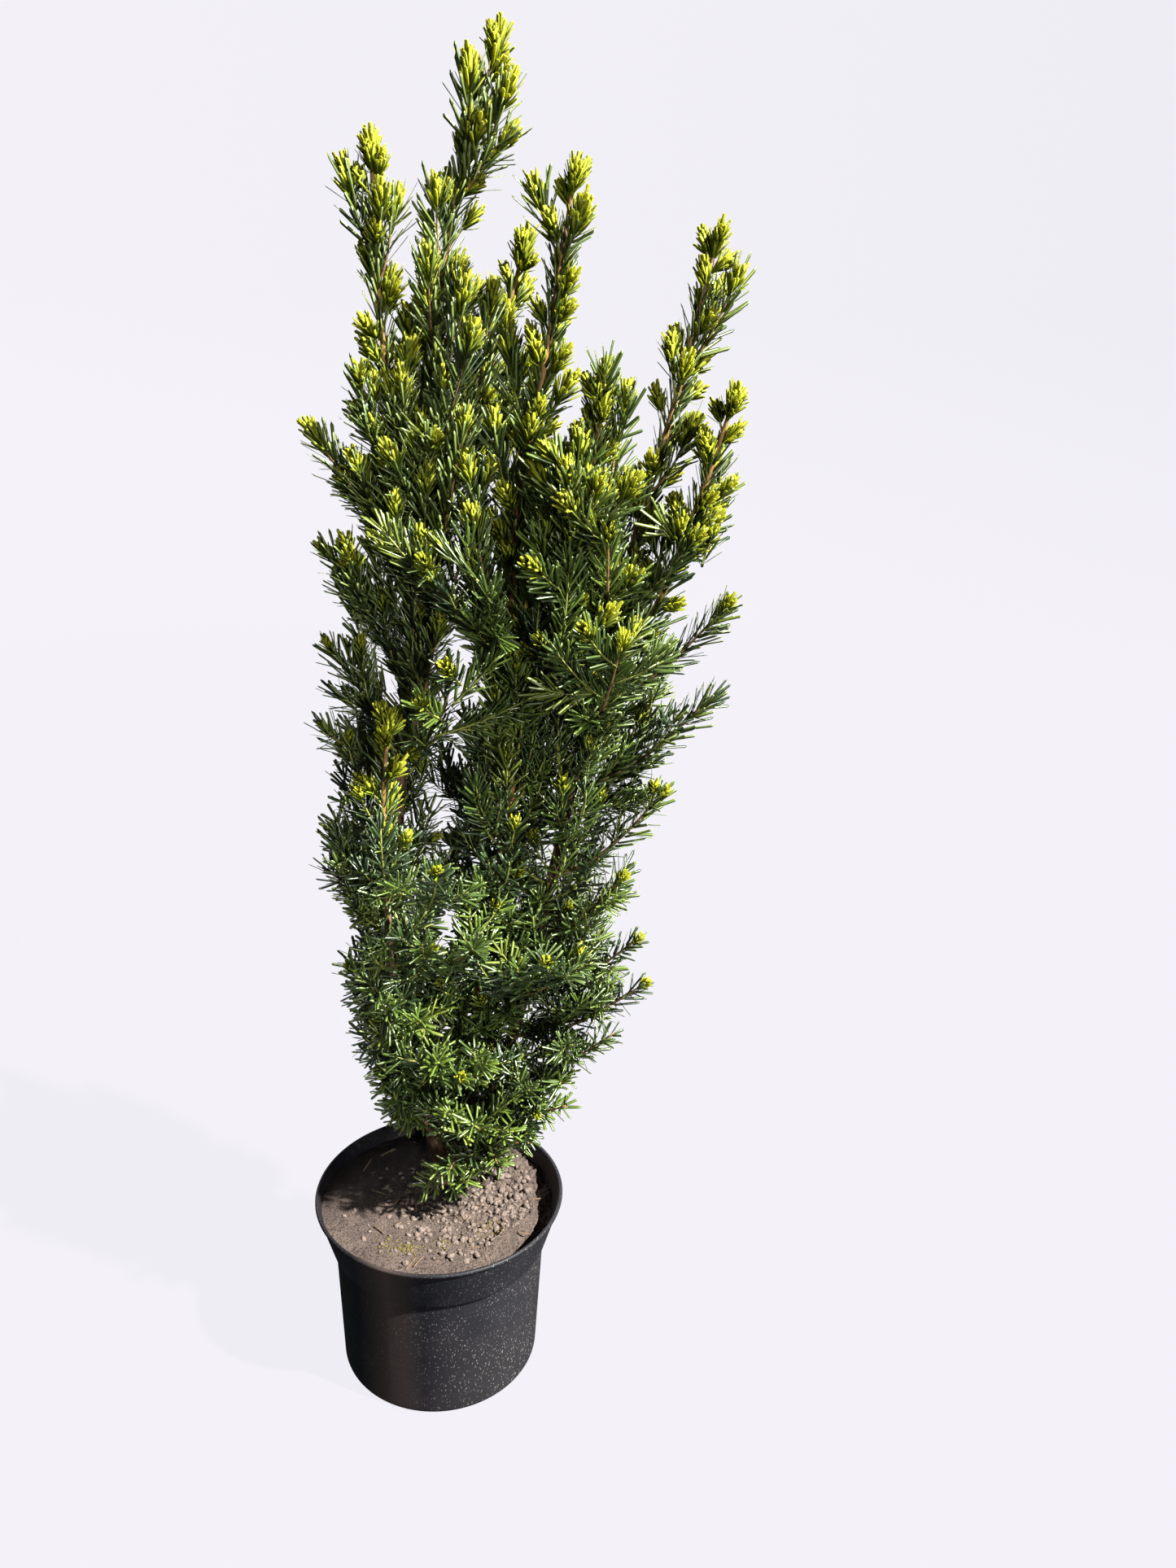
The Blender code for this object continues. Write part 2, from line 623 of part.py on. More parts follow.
def soil_height(x, y):
    """The soil's surface: flat where the trunk stands, full in front, low at the back left, and pulled
    away from the wall at the right."""
    radius, azimuth = math.hypot(x, y), math.atan2(y, x)
    foot = LIMBS["trunk"]["route"][0]
    level = SOIL_LEVEL + 0.004 + SOIL_TILT[0] * x + SOIL_TILT[1] * y
    clods = SOIL_BUMP * (math.sin(71 * x + 2) * math.cos(83 * y) + 0.5 * math.sin(150 * x - 120 * y))
    clods *= 0.4 + 0.6 * min(1.0, max(0.0, 0.5 + 12 * x))
    side = max(0.0, math.cos(azimuth + 0.15))**2
    crescent = CRESCENT_DEPTH * side * min(1.0, max(0.0, (radius - CRESCENT_RADIUS) / CRESCENT_SLOPE))
    surface = level + clods - crescent
    away = min(1.0, max(0.0, (math.hypot(x - foot[0], y - foot[1]) - FOOT_PAD) / FOOT_BLEND))
    blend = away * away * (3 - 2 * away)
    return SOIL_LEVEL * (1 - blend) + surface * blend


def make_soil():
    """A filled body that follows the pot's inside, closed by the uneven surface."""
    inner = pot_inner_profile()
    heights = [height for _, height in inner]
    radii = [radius for radius, _ in inner]
    ledge = heights[3]
    turns = 2 * math.pi * np.arange(POT_SIDES) / POT_SIDES
    rings = []
    for place in range(4):
        lift = GAP * (1, 0, -1, 1)[place]
        radius = radii[place] - 2 * GAP
        level = heights[place] + lift
        rings.append([(radius * math.cos(turn), radius * math.sin(turn), level) for turn in turns])
    edge = []
    for turn in turns:
        radius = np.interp(SOIL_LEVEL, heights[3:5], radii[3:5]) - 2 * GAP
        height = soil_height(radius * math.cos(turn), radius * math.sin(turn))
        height = min(max(height, ledge + SOIL_LEDGE_MARGIN), POT_HEIGHT - 2 * POT_LIP)
        radius = np.interp(height, heights[3:5], radii[3:5]) - 2 * GAP
        edge.append((radius * math.cos(turn), radius * math.sin(turn), height))
    rings.append(edge)
    for share in SOIL_RINGS[-2::-1]:
        rings.append([(x * share, y * share, soil_height(x * share, y * share)) for x, y, _ in edge])
    points, faces = tube(rings)
    centre = len(points)
    points.append((0, 0, soil_height(0, 0)))
    faces = faces[:-1]
    last = (len(rings) - 1) * POT_SIDES
    faces += [(last + k, last + (k + 1) % POT_SIDES, centre) for k in range(POT_SIDES)]
    soil = new_object("soil", points, faces, "potting_soil")
    soil.data.shade_smooth()
    return soil


def world_shape(obj):
    points = [obj.location + vertex.co for vertex in obj.data.vertices]
    return points, [tuple(face.vertices) for face in obj.data.polygons]


def make_limbs(paths):
    limbs = {}
    for name, limb in LIMBS.items():
        points, faces = wood_solid(name, paths)
        obj = new_object(name, points, faces, "bark", tuple(paths[name][0]))
        if limb["parent"]:
            cut_clear(obj, wood_solid(limb["parent"], paths, GAP * 1.2))
        obj.data.shade_smooth()
        obj.data.set_sharp_from_angle(angle=math.radians(50))
        limbs[name] = obj
    return limbs


def make_foliage(plan, limbs, fixed_objects):
    limb_trees = {name: tree_of(*world_shape(obj)) for name, obj in limbs.items()}
    fixed = {obj.name: placed(*world_shape(obj)) for obj in fixed_objects + list(limbs.values())}
    kept = chosen_sprays(plan, limb_trees, fixed)
    for name, limb, _ in plan:
        upright = name.endswith("_top") and limb not in ("low_left_stem", "back_leader")
        yield fused(name, kept[name], "young_needles" if upright else "needles")


def main():
    for obj in list(bpy.data.objects):
        bpy.data.objects.remove(obj)
    stand = bpy.data.objects.new("potted_yew", None)
    bpy.context.scene.collection.objects.link(stand)
    paths, plan = plant_plan()
    vessel = [make_pot(), make_soil()]
    limbs = make_limbs(paths)
    for obj in vessel + list(limbs.values()) + list(make_foliage(plan, limbs, vessel)):
        obj.parent = stand


main()
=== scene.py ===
"""Potted columnar yew: bark, needles, young tips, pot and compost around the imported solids.

Metres, +Z up, origin at the centre of the pot's flat underside, +X to the viewer's right, -Y to the front.
"""

import json
import math

import bpy
import numpy as np
from mathutils import Matrix

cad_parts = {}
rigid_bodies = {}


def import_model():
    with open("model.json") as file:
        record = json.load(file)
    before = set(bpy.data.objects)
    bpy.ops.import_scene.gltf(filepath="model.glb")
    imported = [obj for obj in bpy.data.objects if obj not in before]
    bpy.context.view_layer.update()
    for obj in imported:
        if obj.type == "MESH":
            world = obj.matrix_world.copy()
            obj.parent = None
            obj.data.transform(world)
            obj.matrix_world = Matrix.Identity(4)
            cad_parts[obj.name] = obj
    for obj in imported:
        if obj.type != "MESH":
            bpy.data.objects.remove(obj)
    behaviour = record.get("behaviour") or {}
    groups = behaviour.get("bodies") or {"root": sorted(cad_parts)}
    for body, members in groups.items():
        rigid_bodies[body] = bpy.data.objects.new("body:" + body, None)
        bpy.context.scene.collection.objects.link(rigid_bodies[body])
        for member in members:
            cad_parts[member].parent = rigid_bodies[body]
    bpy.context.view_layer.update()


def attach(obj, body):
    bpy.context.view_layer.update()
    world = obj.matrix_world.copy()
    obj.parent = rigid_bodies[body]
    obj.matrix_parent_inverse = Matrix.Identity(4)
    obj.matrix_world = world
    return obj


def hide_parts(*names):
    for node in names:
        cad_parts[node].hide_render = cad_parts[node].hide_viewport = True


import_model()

# Sizes shared with the solids
POT_HEIGHT = 0.216
POT_RIM_RADIUS = 0.14
POT_BASE_RADIUS = 0.113
POT_BODY_TOP_RADIUS = 0.119
POT_COLLAR_RADIUS = 0.1235
POT_COLLAR_HEIGHT = 0.056
POT_LIP = 0.0045
POT_CORNER = 0.0065
POT_WALL = 0.0022
POT_FLOOR = 0.003

SOIL_LEVEL = 0.2003
SOIL_TILT = (0.012, -0.05)
SOIL_BUMP = 0.0028
CRESCENT_DEPTH = 0.02
CRESCENT_RADIUS = 0.104
CRESCENT_SLOPE = 0.012
FOOT_PAD = 0.036
FOOT_BLEND = 0.02

ROOT_FLARE = 0.75
ROOT_FLARE_HEIGHT = 0.016
ROOT_LOBES = 3
TWIG_RADIUS = 0.0023
PATH_STEP = 0.008
GOLDEN_TURN = 2 * math.pi * 0.618034

# Each limb: its bark, its parent and the height it leaves that at, where its wood ends, its first and last
# radius, its shoots (their number, first and last height), the side they face and their spread round it
# in degrees, where in the spread they start, shoots given their own aims, and the points on its route.
LIMB_KEYS = (
    "bark", "parent", "leaves", "wood", "radius", "shoots", "faces", "spread", "start", "aims", "route",
)
LIMBS = {name: dict(zip(LIMB_KEYS, row)) for name, *row in (
    ("trunk", "old", None, None, 1.09, (0.0105, 0.0034), (10, 0.29, 1.00), 195, 135, 0.1, {2: 20},
     ((0.002, 0.038, 0.2006), (-0.02, 0.036, 0.306), (-0.046, 0.033, 0.47), (-0.049, 0.031, 0.63),
      (-0.021, 0.03, 0.923), (0.006, 0.03, 1.195), (0.054, 0.03, 1.372))),
    ("middle_leader", "leader", "trunk", 0.262, 1.03, (0.0072, 0.0032), (8, 0.31, 0.96), 290, 120, 0.5,
     {5: 40},
     ((0.021, 0.03, 0.33), (0.056, 0.018, 0.558), (0.078, 0.003, 0.75), (0.075, -0.012, 0.95),
      (0.101, -0.02, 1.12), (0.121, -0.02, 1.262))),
    ("right_leader", "old", "trunk", 0.228, 1.02, (0.0075, 0.0032), (9, 0.27, 0.96), 0, 125, 0.9,
     {1: 80, 2: -40, 3: -20, 5: 120},
     ((0.037, 0.036, 0.272), (0.083, 0.03, 0.424), (0.122, 0.024, 0.625), (0.172, 0.015, 0.887),
      (0.218, 0.01, 1.085), (0.246, 0.01, 1.218))),
    ("upper_left_leader", "young", "trunk", 0.935, 1.03, (0.0038, 0.0028), (1, 1.00, 1.00), 190, 60, 0.5, {},
     ((-0.036, 0.024, 1.02), (-0.05, 0.012, 1.14), (-0.053, 0.002, 1.278))),
    ("inner_leader", "young", "trunk", 0.885, 1.03, (0.0038, 0.0028), (1, 0.98, 0.98), 70, 60, 0.35, {},
     ((0.012, 0.046, 1.01), (0.046, 0.062, 1.11), (0.075, 0.07, 1.213))),
    ("front_leader", "young", "middle_leader", 0.735, 0.945, (0.0042, 0.0028), (2, 0.84, 0.93), 300, 110,
     0, {}, ((0.112, -0.022, 0.82), (0.14, -0.043, 0.95), (0.15, -0.055, 1.088))),
    ("outer_right_leader", "young", "right_leader", 0.79, 0.955, (0.004, 0.0028), (2, 0.86, 0.94), 350, 90,
     0.45, {}, ((0.205, -0.004, 0.885), (0.243, -0.024, 1.00), (0.266, -0.034, 1.087))),
    ("low_left_stem", "old", "trunk", 0.243, 0.6, (0.0044, 0.0028), (3, 0.34, 0.56), 215, 95, 0.05, {},
     ((-0.035, 0, 0.36), (-0.044, -0.034, 0.52), (-0.046, -0.052, 0.69), (-0.038, -0.055, 0.79))),
    ("back_leader", "old", "trunk", 0.285, 0.83, (0.0056, 0.003), (3, 0.44, 0.76), 85, 110, 0.05, {},
     ((0.016, 0.078, 0.4), (0.04, 0.104, 0.6), (0.058, 0.11, 0.83), (0.07, 0.104, 1.06))),
)}
CROWN = np.array([  # height, then the outline's left, right, front and back, in millimetres
    (250, -60, 120, -80, 110),
    (350, -92, 150, -110, 135),
    (450, -118, 212, -125, 150),
    (650, -124, 222, -130, 160),
    (850, -116, 292, -125, 155),
    (1050, -116, 292, -105, 135),
    (1150, -95, 275, -85, 115),
    (1300, -70, 250, -60, 90),
]) / 1000
SHOOT_REACH = (0.055, 0.15)
TWIG_REACH_LEAST = 0.026
OUTLINE_MARGIN = 0.016
SHOOT_RISE = ((0.25, 0.2), (0.45, 0.6), (0.7, 1.00), (1.00, 1.5))
RISE_LIMITS = ((0.25, 0.03, 0.07), (0.4, 0.085, 0.12), (0.8, 0.1, 0.125))
LOW_SHOOTS = 1.2  # the power that crowds shoots low on a limb
SHOOT_TURNS = np.radians([0, 25, -25, 50, -50, 75, -75, 100, -100])
SHOOT_SPACE = 0.024
SIDE_TWIGS = (0.18, 0.31, 0.45, 0.59, 0.73, 0.87)
SIDE_TWIG_ANGLE = math.radians(46)
TOP_TWIG_ANGLE = math.radians(29)
TOP_TWIG_STEP = 0.048
TOP_TWIG_LENGTH = 0.06

# The fine growth. Tables start each row with a height.
NEEDLE_LENGTHS = ((0.25, 0.0205), (0.5, 0.0225), (0.8, 0.0245), (1.1, 0.0265))
NEEDLE_WIDTH = 0.0037
NEEDLE_THICKNESS = 0.0006
NEEDLE_SPACING = 0.002
NEEDLE_ANGLES = ((0.25, 66), (0.5, 62), (0.72, 50), (1.00, 46), (1.4, 44))  # degrees
NEEDLE_MARGINS = ((0.25, 0.024), (0.45, 0.024), (0.62, 0.018), (0.72, 0.006), (1.4, 0.004))
NEEDLE_RINGS = ((0.1, 0.8), (0.92, 0.86))  # share of the length, share of the full width
TUFT_RINGS = ((0.18, 0.72), (0.58, 1.0), (0.95, 0.8))
PIECE_NEEDLES = 16000  # 12 triangles each keep a piece under 200,000
PIECE_TUFTS = 10500  # 18 triangles each
TUFT_CHANCE = (
    (0.25, 0.03), (0.45, 0.05), (0.62, 0.12), (0.75, 0.3), (0.86, 0.62), (0.96, 0.95), (1.4, 1.0),
)
TUFT_SIZE = ((0.25, 0.012), (0.6, 0.016), (0.8, 0.022), (1.00, 0.03), (1.3, 0.036))
TONES = ("deep", "green", "fresh", "light")
TONE_SHARES = (
    (0.25, 0.12, 0.36, 0.46, 0.06), (0.45, 0.2, 0.44, 0.32, 0.04), (0.62, 0.4, 0.42, 0.14, 0.04),
    (0.8, 0.34, 0.38, 0.19, 0.09), (1.00, 0.06, 0.34, 0.38, 0.22), (1.3, 0.02, 0.26, 0.44, 0.28),
)
FINE_TWIG_RADIUS = 0.0011
LIMB_SHOOT_STEP = 0.021
LIMB_SHOOT_LENGTH = (0.055, 0.105)
LIMB_ROOM = ((0.8, 0.2), (0.9, 0.11), (0.98, 0.06), (1.06, 0.04), (1.2, 0.034), (1.4, 0.03))
TIP_CUT = 0.012
TOP_CLEAR = 0.075

# Long shoots that show singly against the sky: the limb and height they leave from, and their
# tip, in millimetres.
LONG_SHOOTS = [(limb, np.array(row) / 1000) for limb, *rows in (
    ("right_leader", (300, 142, -40, 360), (345, 188, -35, 448),
     (400, 216, -20, 498), (455, 207, -15, 548), (530, 188, -20, 618),
     (600, 226, 0, 704), (700, 270, 0, 808), (790, 274, 0, 895)),
    ("trunk", (940, -108, 2, 1036), (860, -104, 10, 930), (760, -106, 14, 838),
     (700, -110, 0, 760), (560, -108, -30, 622)),
    ("middle_leader", (1195, 90, -22, 1240)),
    ("trunk", (860, 29, -30, 1056), (830, 50, -22, 1012), (780, -12, -30, 948)),
    ("middle_leader", (800, 40, -36, 970), (860, 108, -50, 1030)),
    ("front_leader", (900, 170, -45, 1078), (860, 132, -62, 1040), (960, 153, -50, 1100)),
    ("trunk", (1020, 34, -30, 1124), (1050, 26, -20, 1160), (1110, -6, 0, 1185),
     (1160, 2, 0, 1240), (1240, 60, 0, 1318), (1270, 28, 10, 1332)),
    ("inner_leader", (1030, 47, 30, 1158)),
    ("upper_left_leader", (1170, -34, 0, 1228), (1190, -73, 0, 1248)),
    ("right_leader", (1000, 229, -10, 1052), (1110, 262, 0, 1180)),
    ("trunk", (705, -10, -20, 838), (745, 6, -30, 872)),
) for row in rows]

# Limbs whose front is hidden by short shoots, and wood that shows: from and to which height. The step
# between the shoots comes last.
FRONT_SHOOTS = (
    ("middle_leader", 0.34, 0.84, 0.014), ("trunk", 0.29, 1.00, 0.015), ("right_leader", 0.27, 0.92, 0.016),
    ("low_left_stem", 0.32, 0.62, 0.022),
)
SHOWN_WOOD = (("middle_leader", 0.86, 1.13), ("right_leader", 0.93, 1.09), ("trunk", 0.7, 0.76))
SHOWN_WIDTH = 0.014

# Where the sky shows through or beside the crown: x and z in the plane of the pot's axis, and a radius,
# in millimetres.
SKY_GAPS = np.array([
    (12, 556, 17), (4, 524, 13), (8, 664, 16), (38, 790, 14),
    (205, 1018, 24), (218, 990, 22), (232, 900, 24), (222, 880, 22),
    (-108, 1112, 34), (-98, 1070, 18), (196, 1085, 20), (-12, 1175, 16),
    (-85, 330, 24), (-85, 1115, 28), (-86, 1065, 20),
]) / 1000

# Patches of moss: how many flecks, a seed, the middle and the spread
MOSS = (
    (60, 44, (-0.04, -0.086), (0.01, 0.007)), (40, 45, (-0.018, -0.092), (0.007, 0.005)),
    (44, 46, (0.016, -0.082), (0.012, 0.007)), (60, 47, (0.06, -0.052), (0.008, 0.011)),
)

BARK_COLOURS = {  # the plates, the flakes, the cracks, and the roughness
    "old_bark": ((0.15, 0.082, 0.05), (0.3, 0.17, 0.105), (0.035, 0.02, 0.014), 0.82),
    "leader_bark": ((0.33, 0.125, 0.04), (0.52, 0.235, 0.085), (0.09, 0.035, 0.016), 0.7),
    "young_bark": ((0.26, 0.19, 0.05), (0.42, 0.29, 0.09), (0.1, 0.06, 0.02), 0.62),
    "brown_twigs": ((0.2, 0.12, 0.045), (0.33, 0.21, 0.08), (0.075, 0.045, 0.018), 0.7),
    "tan_twigs": ((0.24, 0.135, 0.04), (0.35, 0.21, 0.065), (0.1, 0.052, 0.018), 0.6),
    "green_twigs": ((0.21, 0.24, 0.045), (0.33, 0.33, 0.08), (0.11, 0.12, 0.025), 0.55),
}
LEAF_COLOURS = {  # the colour and the shade that it drifts to
    "needle_underside": ((0.125, 0.17, 0.036), (0.08, 0.125, 0.026)),
    "needle_deep": ((0.0225, 0.049, 0.0095), (0.0145, 0.034, 0.008)),
    "needle_green": ((0.056, 0.098, 0.0115), (0.038, 0.07, 0.009)),
    "needle_fresh": ((0.098, 0.155, 0.0145), (0.068, 0.118, 0.012)),
    "needle_light": ((0.14, 0.182, 0.018), (0.1, 0.142, 0.014)),
    "tuft_green": ((0.122, 0.158, 0.009), (0.098, 0.134, 0.008)),
    "tuft_lime": ((0.172, 0.198, 0.011), (0.145, 0.174, 0.01)),
    "tuft_yellow": ((0.215, 0.226, 0.013), (0.186, 0.204, 0.012)),
}

CAMERA_SPOT = np.array([0.1512, -1.1172, 1.106])
CAMERA_DOWN = math.radians(19.4)
CAMERA_ROLL = math.radians(2.2)
CAMERA_LENS = 27.05
FLOOR_SIDES = 96
FLOOR_SHADE = 0.009
FLOOR_GLOW = 0.955
WALL_HEIGHT = 3.8
WORLD_LIGHT = 0.06
LAMPS = (  # degrees round from +X and above the floor, degrees across, watts a square metre, colour
    ("sun", (-25, 48), 1.6, 19.0, (1.0, 0.965, 0.89)),
    ("front_light", (-66, 11), 8, 2.2, (1.0, 0.98, 0.93)),
    ("back_light", (115, 25), 30, 0.8, (0.95, 0.98, 1.0)),
)

RIGHT = np.array([1.0, 0.0, 0.0])
UP = np.array([0.0, 0.0, 1.0])


# Directions and curves, by the same rule as the solids

def unit(vector):
    return vector / np.linalg.norm(vector, axis=-1, keepdims=True)


def level(azimuth):
    return np.array([math.cos(azimuth), math.sin(azimuth), 0.0])


def swung(first, second, angle):
    """The direction at an angle from the first towards the second."""
    return math.cos(angle) * first + math.sin(angle) * second


def by_height(table, height):
    """The value of a table at a height, or a list of values if its rows hold several."""
    heights, *columns = np.array(table).T
    found = [np.interp(height, heights, column) for column in columns]
    return found[0] if len(found) == 1 else found


def ramp(height, low, high):
    """0 under the low height, 1 over the high one."""
    return float(np.interp(height, (low, high), (0, 1)))


def distances_along(path):
    return np.concatenate([[0], np.cumsum(np.linalg.norm(np.diff(path, axis=0), axis=1))])


def sampled(values, along, wanted):
    return np.stack([np.interp(wanted, along, column) for column in values.T], axis=1)


def evenly_spaced(points, count):
    along = distances_along(points)
    return sampled(points, along, np.linspace(0, along[-1], count))


def smooth_route(points, count):
    """A Catmull-Rom curve through the points, as count evenly spaced points."""
    points = np.asarray(points, float)
    padded = np.vstack([2 * points[0] - points[1], points, 2 * points[-1] - points[-2]])
    t = np.linspace(0, 1, 16)[:, None]
    spans = []
    for a, b, c, d in zip(padded, padded[1:], padded[2:], padded[3:]):
        curve = 2 * b + (c - a) * t + (2 * a - 5 * b + 4 * c - d) * t**2 + (3 * b - a - 3 * c + d) * t**3
        spans.append(curve / 2)
    return evenly_spaced(np.vstack(spans), count)


def bezier(start, first_pull, last_pull, end, step):
    """A cubic Bezier curve as points a step apart."""
    t = np.linspace(0, 1, 40)[:, None]
    curve = (start * (1 - t)**3 + 3 * first_pull * t * (1 - t)**2
             + 3 * last_pull * t**2 * (1 - t) + end * t**3)
    return evenly_spaced(curve, max(3, round(path_length(curve) / step) + 1))


def arched(start, out, up, first, last, step=0.006):
    """A shoot that ends out and up from its start. Its two pulls take the first and last shares of both."""
    end = start + out + up
    return bezier(start, start + out * first[0] + up * first[1], end - out * last[0] - up * last[1],
                  end, step)


def spur(start, heading, reach, turned, pull=0.5, step=PATH_STEP):
    """A short twig along its heading whose end turns aside by a share of its reach."""
    middle = start + heading * reach * pull
    return bezier(start, middle, middle, start + (heading + turned) * reach, step)


def frames(path, across):
    """Tangents of a path, and the two directions across it, turned as little as they can be."""
    tangent = unit(np.vstack([path[1] - path[0], path[2:] - path[:-2], path[-1] - path[-2]]))
    lift = unit(np.cross(tangent, across))
    return tangent, unit(np.cross(lift, tangent)), lift


def golden(turn, start):
    """Spreads turns evenly between -1 and 1, whatever their number."""
    return 2 * ((turn * GOLDEN_TURN / (2 * math.pi) + start) % 1) - 1


def at_height(path, height):
    return sampled(path, path[:, 2], [height])[0]


def path_length(path):
    return np.linalg.norm(np.diff(path, axis=0), axis=1).sum()


def limb_paths():
    """Each limb's whole route, from its parent's axis to its leafy tip."""
    paths = {}
    for name, limb in LIMBS.items():
        route = list(limb["route"])
        if limb["parent"]:
            route.insert(0, at_height(paths[limb["parent"]], limb["leaves"]))
        paths[name] = smooth_route(route, 64)
    return paths


def crown_ellipse(height):
    """Middle and half axes of the crown's outline, an ellipse at each height."""
    left, right, front, back = by_height(CROWN, height)
    return np.array([left + right, front + back]) / 2, np.array([right - left, back - front]) / 2


def crown_room(point, heading, height):
    """How far it is from a point to the outline of the crown."""
    middle, half = crown_ellipse(height)
    start, step = (point[:2] - middle) / half, heading[:2] / half
    a, b, c = step @ step, start @ step, start @ start - 1
    return (-b + math.sqrt(max(b * b - a * c, 0))) / a - OUTLINE_MARGIN


# The plan of the plant, by the same rule as the solids. A twig is its path and the way across it.

def side_twigs(main, rng):
    """Side twigs, left and right in turn, near the plane of the shoot that carries them."""
    path = main[0]
    length = path_length(path)
    tangent, across, lift = frames(path, main[1])
    side = rng.choice((-1, 1))
    found = []
    for share in SIDE_TWIGS:
        at = int(round(share * (len(path) - 1)))
        side = -side
        angle = SIDE_TWIG_ANGLE * rng.uniform(0.85, 1.15)
        away = swung(side * across[at], lift[at], rng.uniform(-0.5, 0.7))
        heading = swung(tangent[at], away, angle)
        reach = (1 - share) * length * 0.55 + rng.uniform(0.042, 0.054)
        reach = max(min(reach, crown_room(path[at], heading, path[at, 2])), TWIG_REACH_LEAST)
        flat = np.cross(lift[at] + rng.uniform(-1.2, 1.2) * np.cross(heading, lift[at]), heading)
        found.append((spur(path[at], heading, reach, (tangent[at] + UP * 0.6) * 0.12, 0.45), flat))
    return found


def side_shoot(path, height, azimuth, rise_share, reach_share):
    """A shoot that leaves its limb sideways, turns up and ends on the outline of the crown."""
    start, heading = at_height(path, height), level(azimuth)
    reach = float(np.clip(crown_room(start, heading, height + 0.08), *SHOOT_REACH)) * reach_share
    rise = np.clip(reach * by_height(SHOOT_RISE, height) * rise_share, *by_height(RISE_LIMITS, height))
    line = arched(start, heading * reach, UP * rise, (0.45, 0.10), (0.25, 0.40), PATH_STEP)
    return line, np.cross(UP, heading)


def leafy_top(path, wood):
    """The end of a limb past its wood."""
    top = np.vstack([at_height(path, wood), path[path[:, 2] > wood]])
    return evenly_spaced(top, round(path_length(top) / PATH_STEP) + 1), RIGHT


def top_twigs(main, rng):
    """Short upright twigs all round a leafy top."""
    path = main[0]
    tangent, across, lift = frames(path, main[1])
    length = PATH_STEP * (len(path) - 1)
    found = []
    for turn, along in enumerate(np.arange(0.4 * TOP_TWIG_STEP, length - 0.3 * TOP_TWIG_STEP, TOP_TWIG_STEP)):
        at = int(round(along / PATH_STEP))
        away = swung(across[at], lift[at], GOLDEN_TURN * turn + rng.uniform(-0.4, 0.4))
        heading = swung(tangent[at], away, TOP_TWIG_ANGLE * rng.uniform(0.85, 1.2))
        reach = min(TOP_TWIG_LENGTH * rng.uniform(0.85, 1.2), (length - along) * 0.9 + 0.012)
        found.append((spur(path[at], heading, reach, tangent[at] * 0.15), np.cross(tangent[at], away)))
    return found


def roomiest_shoot(path, height, azimuth, rng, blocked):
    """The shoot at the first turn from its azimuth that keeps its distance from what is there already."""
    shares = rng.uniform(0.85, 1.15), rng.uniform(0.86, 1.0)
    tried = []
    for turn in SHOOT_TURNS:
        shoot = side_shoot(path, height, azimuth + turn, *shares)
        apart = np.linalg.norm(shoot[0][2:, None] - blocked[None], axis=2).min()
        tried.append((apart, -len(tried), shoot))
        if apart > SHOOT_SPACE:
            return shoot
    return max(tried, key=lambda entry: entry[:2])[2]


def plant_plan():
    """The limbs' paths, and the twigs of every mass of foliage by its name, the main one first."""
    paths = limb_paths()
    blocked, plan = dict(paths), {}
    for seed, (name, limb) in enumerate(LIMBS.items()):
        rng = np.random.default_rng(seed + 11)
        count, first, last = limb["shoots"]
        for turn, share in enumerate(np.linspace(0, 1, count)):
            height = first + (last - first) * share ** LOW_SHOOTS
            azimuth = limb["faces"] + limb["spread"] * golden(turn, limb["start"])
            azimuth = math.radians(limb["aims"].get(turn + 1, azimuth))
            others = np.vstack([path for other, path in blocked.items() if other != name])
            main = roomiest_shoot(paths[name], height + rng.uniform(-0.008, 0.008), azimuth, rng, others)
            mass = f"{name}_shoot_{turn + 1}"
            blocked[mass] = main[0][1:]
            plan[mass] = [main] + side_twigs(main, rng)
        main = leafy_top(paths[name], limb["wood"])
        plan[f"{name}_top"] = [main] + top_twigs(main, rng)
    return paths, plan


def outline_share(points):
    """1 on the crown's outline less what the needles add, under 1 inside it."""
    middle, half = crown_ellipse(points[:, 2])
    return np.hypot(*(points[:, :2].T - middle) / (half - by_height(NEEDLE_MARGINS, points[:, 2])))


def off_sight(points, targets):
    """How far along and how far off the line of sight to each target the points lie, and its length."""
    reach = np.linalg.norm(targets - CAMERA_SPOT, axis=1)
    sight = (targets - CAMERA_SPOT) / reach[:, None]
    along = ((points[:, None] - CAMERA_SPOT) * sight).sum(axis=2)
    return along, np.linalg.norm(points[:, None] - CAMERA_SPOT - along[..., None] * sight, axis=2), reach


# Meshes from arrays

def mesh_piece(name, points, faces, finishes, kinds=None):
    """A piece from its points and a list of face arrays. kinds says which finish each array takes."""
    points = np.asarray(points, np.float32).reshape(-1, 3)
    corners = np.concatenate([group.ravel() for group in faces]).astype(np.int32)
    sizes = np.concatenate([np.full(len(group), group.shape[1]) for group in faces])
    mesh = bpy.data.meshes.new(name)
    mesh.vertices.add(len(points))
    mesh.vertices.foreach_set("co", points.ravel())
    mesh.loops.add(len(corners))
    mesh.loops.foreach_set("vertex_index", corners)
    mesh.polygons.add(len(sizes))
    mesh.polygons.foreach_set("loop_start", (np.cumsum(sizes) - sizes).astype(np.int32))
    if kinds is not None:
        index = np.repeat(kinds, [len(group) for group in faces])
        mesh.polygons.foreach_set("material_index", index.astype(np.int32))
    mesh.update(calc_edges=True)
    for finish in finishes:
        mesh.materials.append(finish)
    mesh.shade_smooth()
    obj = bpy.data.objects.new(name, mesh)
    bpy.context.scene.collection.objects.link(obj)
    return obj


def dressed(obj, slot, *nodes):
    """The piece rides on the plant's one body and stands for the named solids. slot is not used."""
    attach(obj, "root")
    if nodes:
        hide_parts(*nodes)


def turns(sides):
    return 2 * math.pi * np.arange(sides) / sides


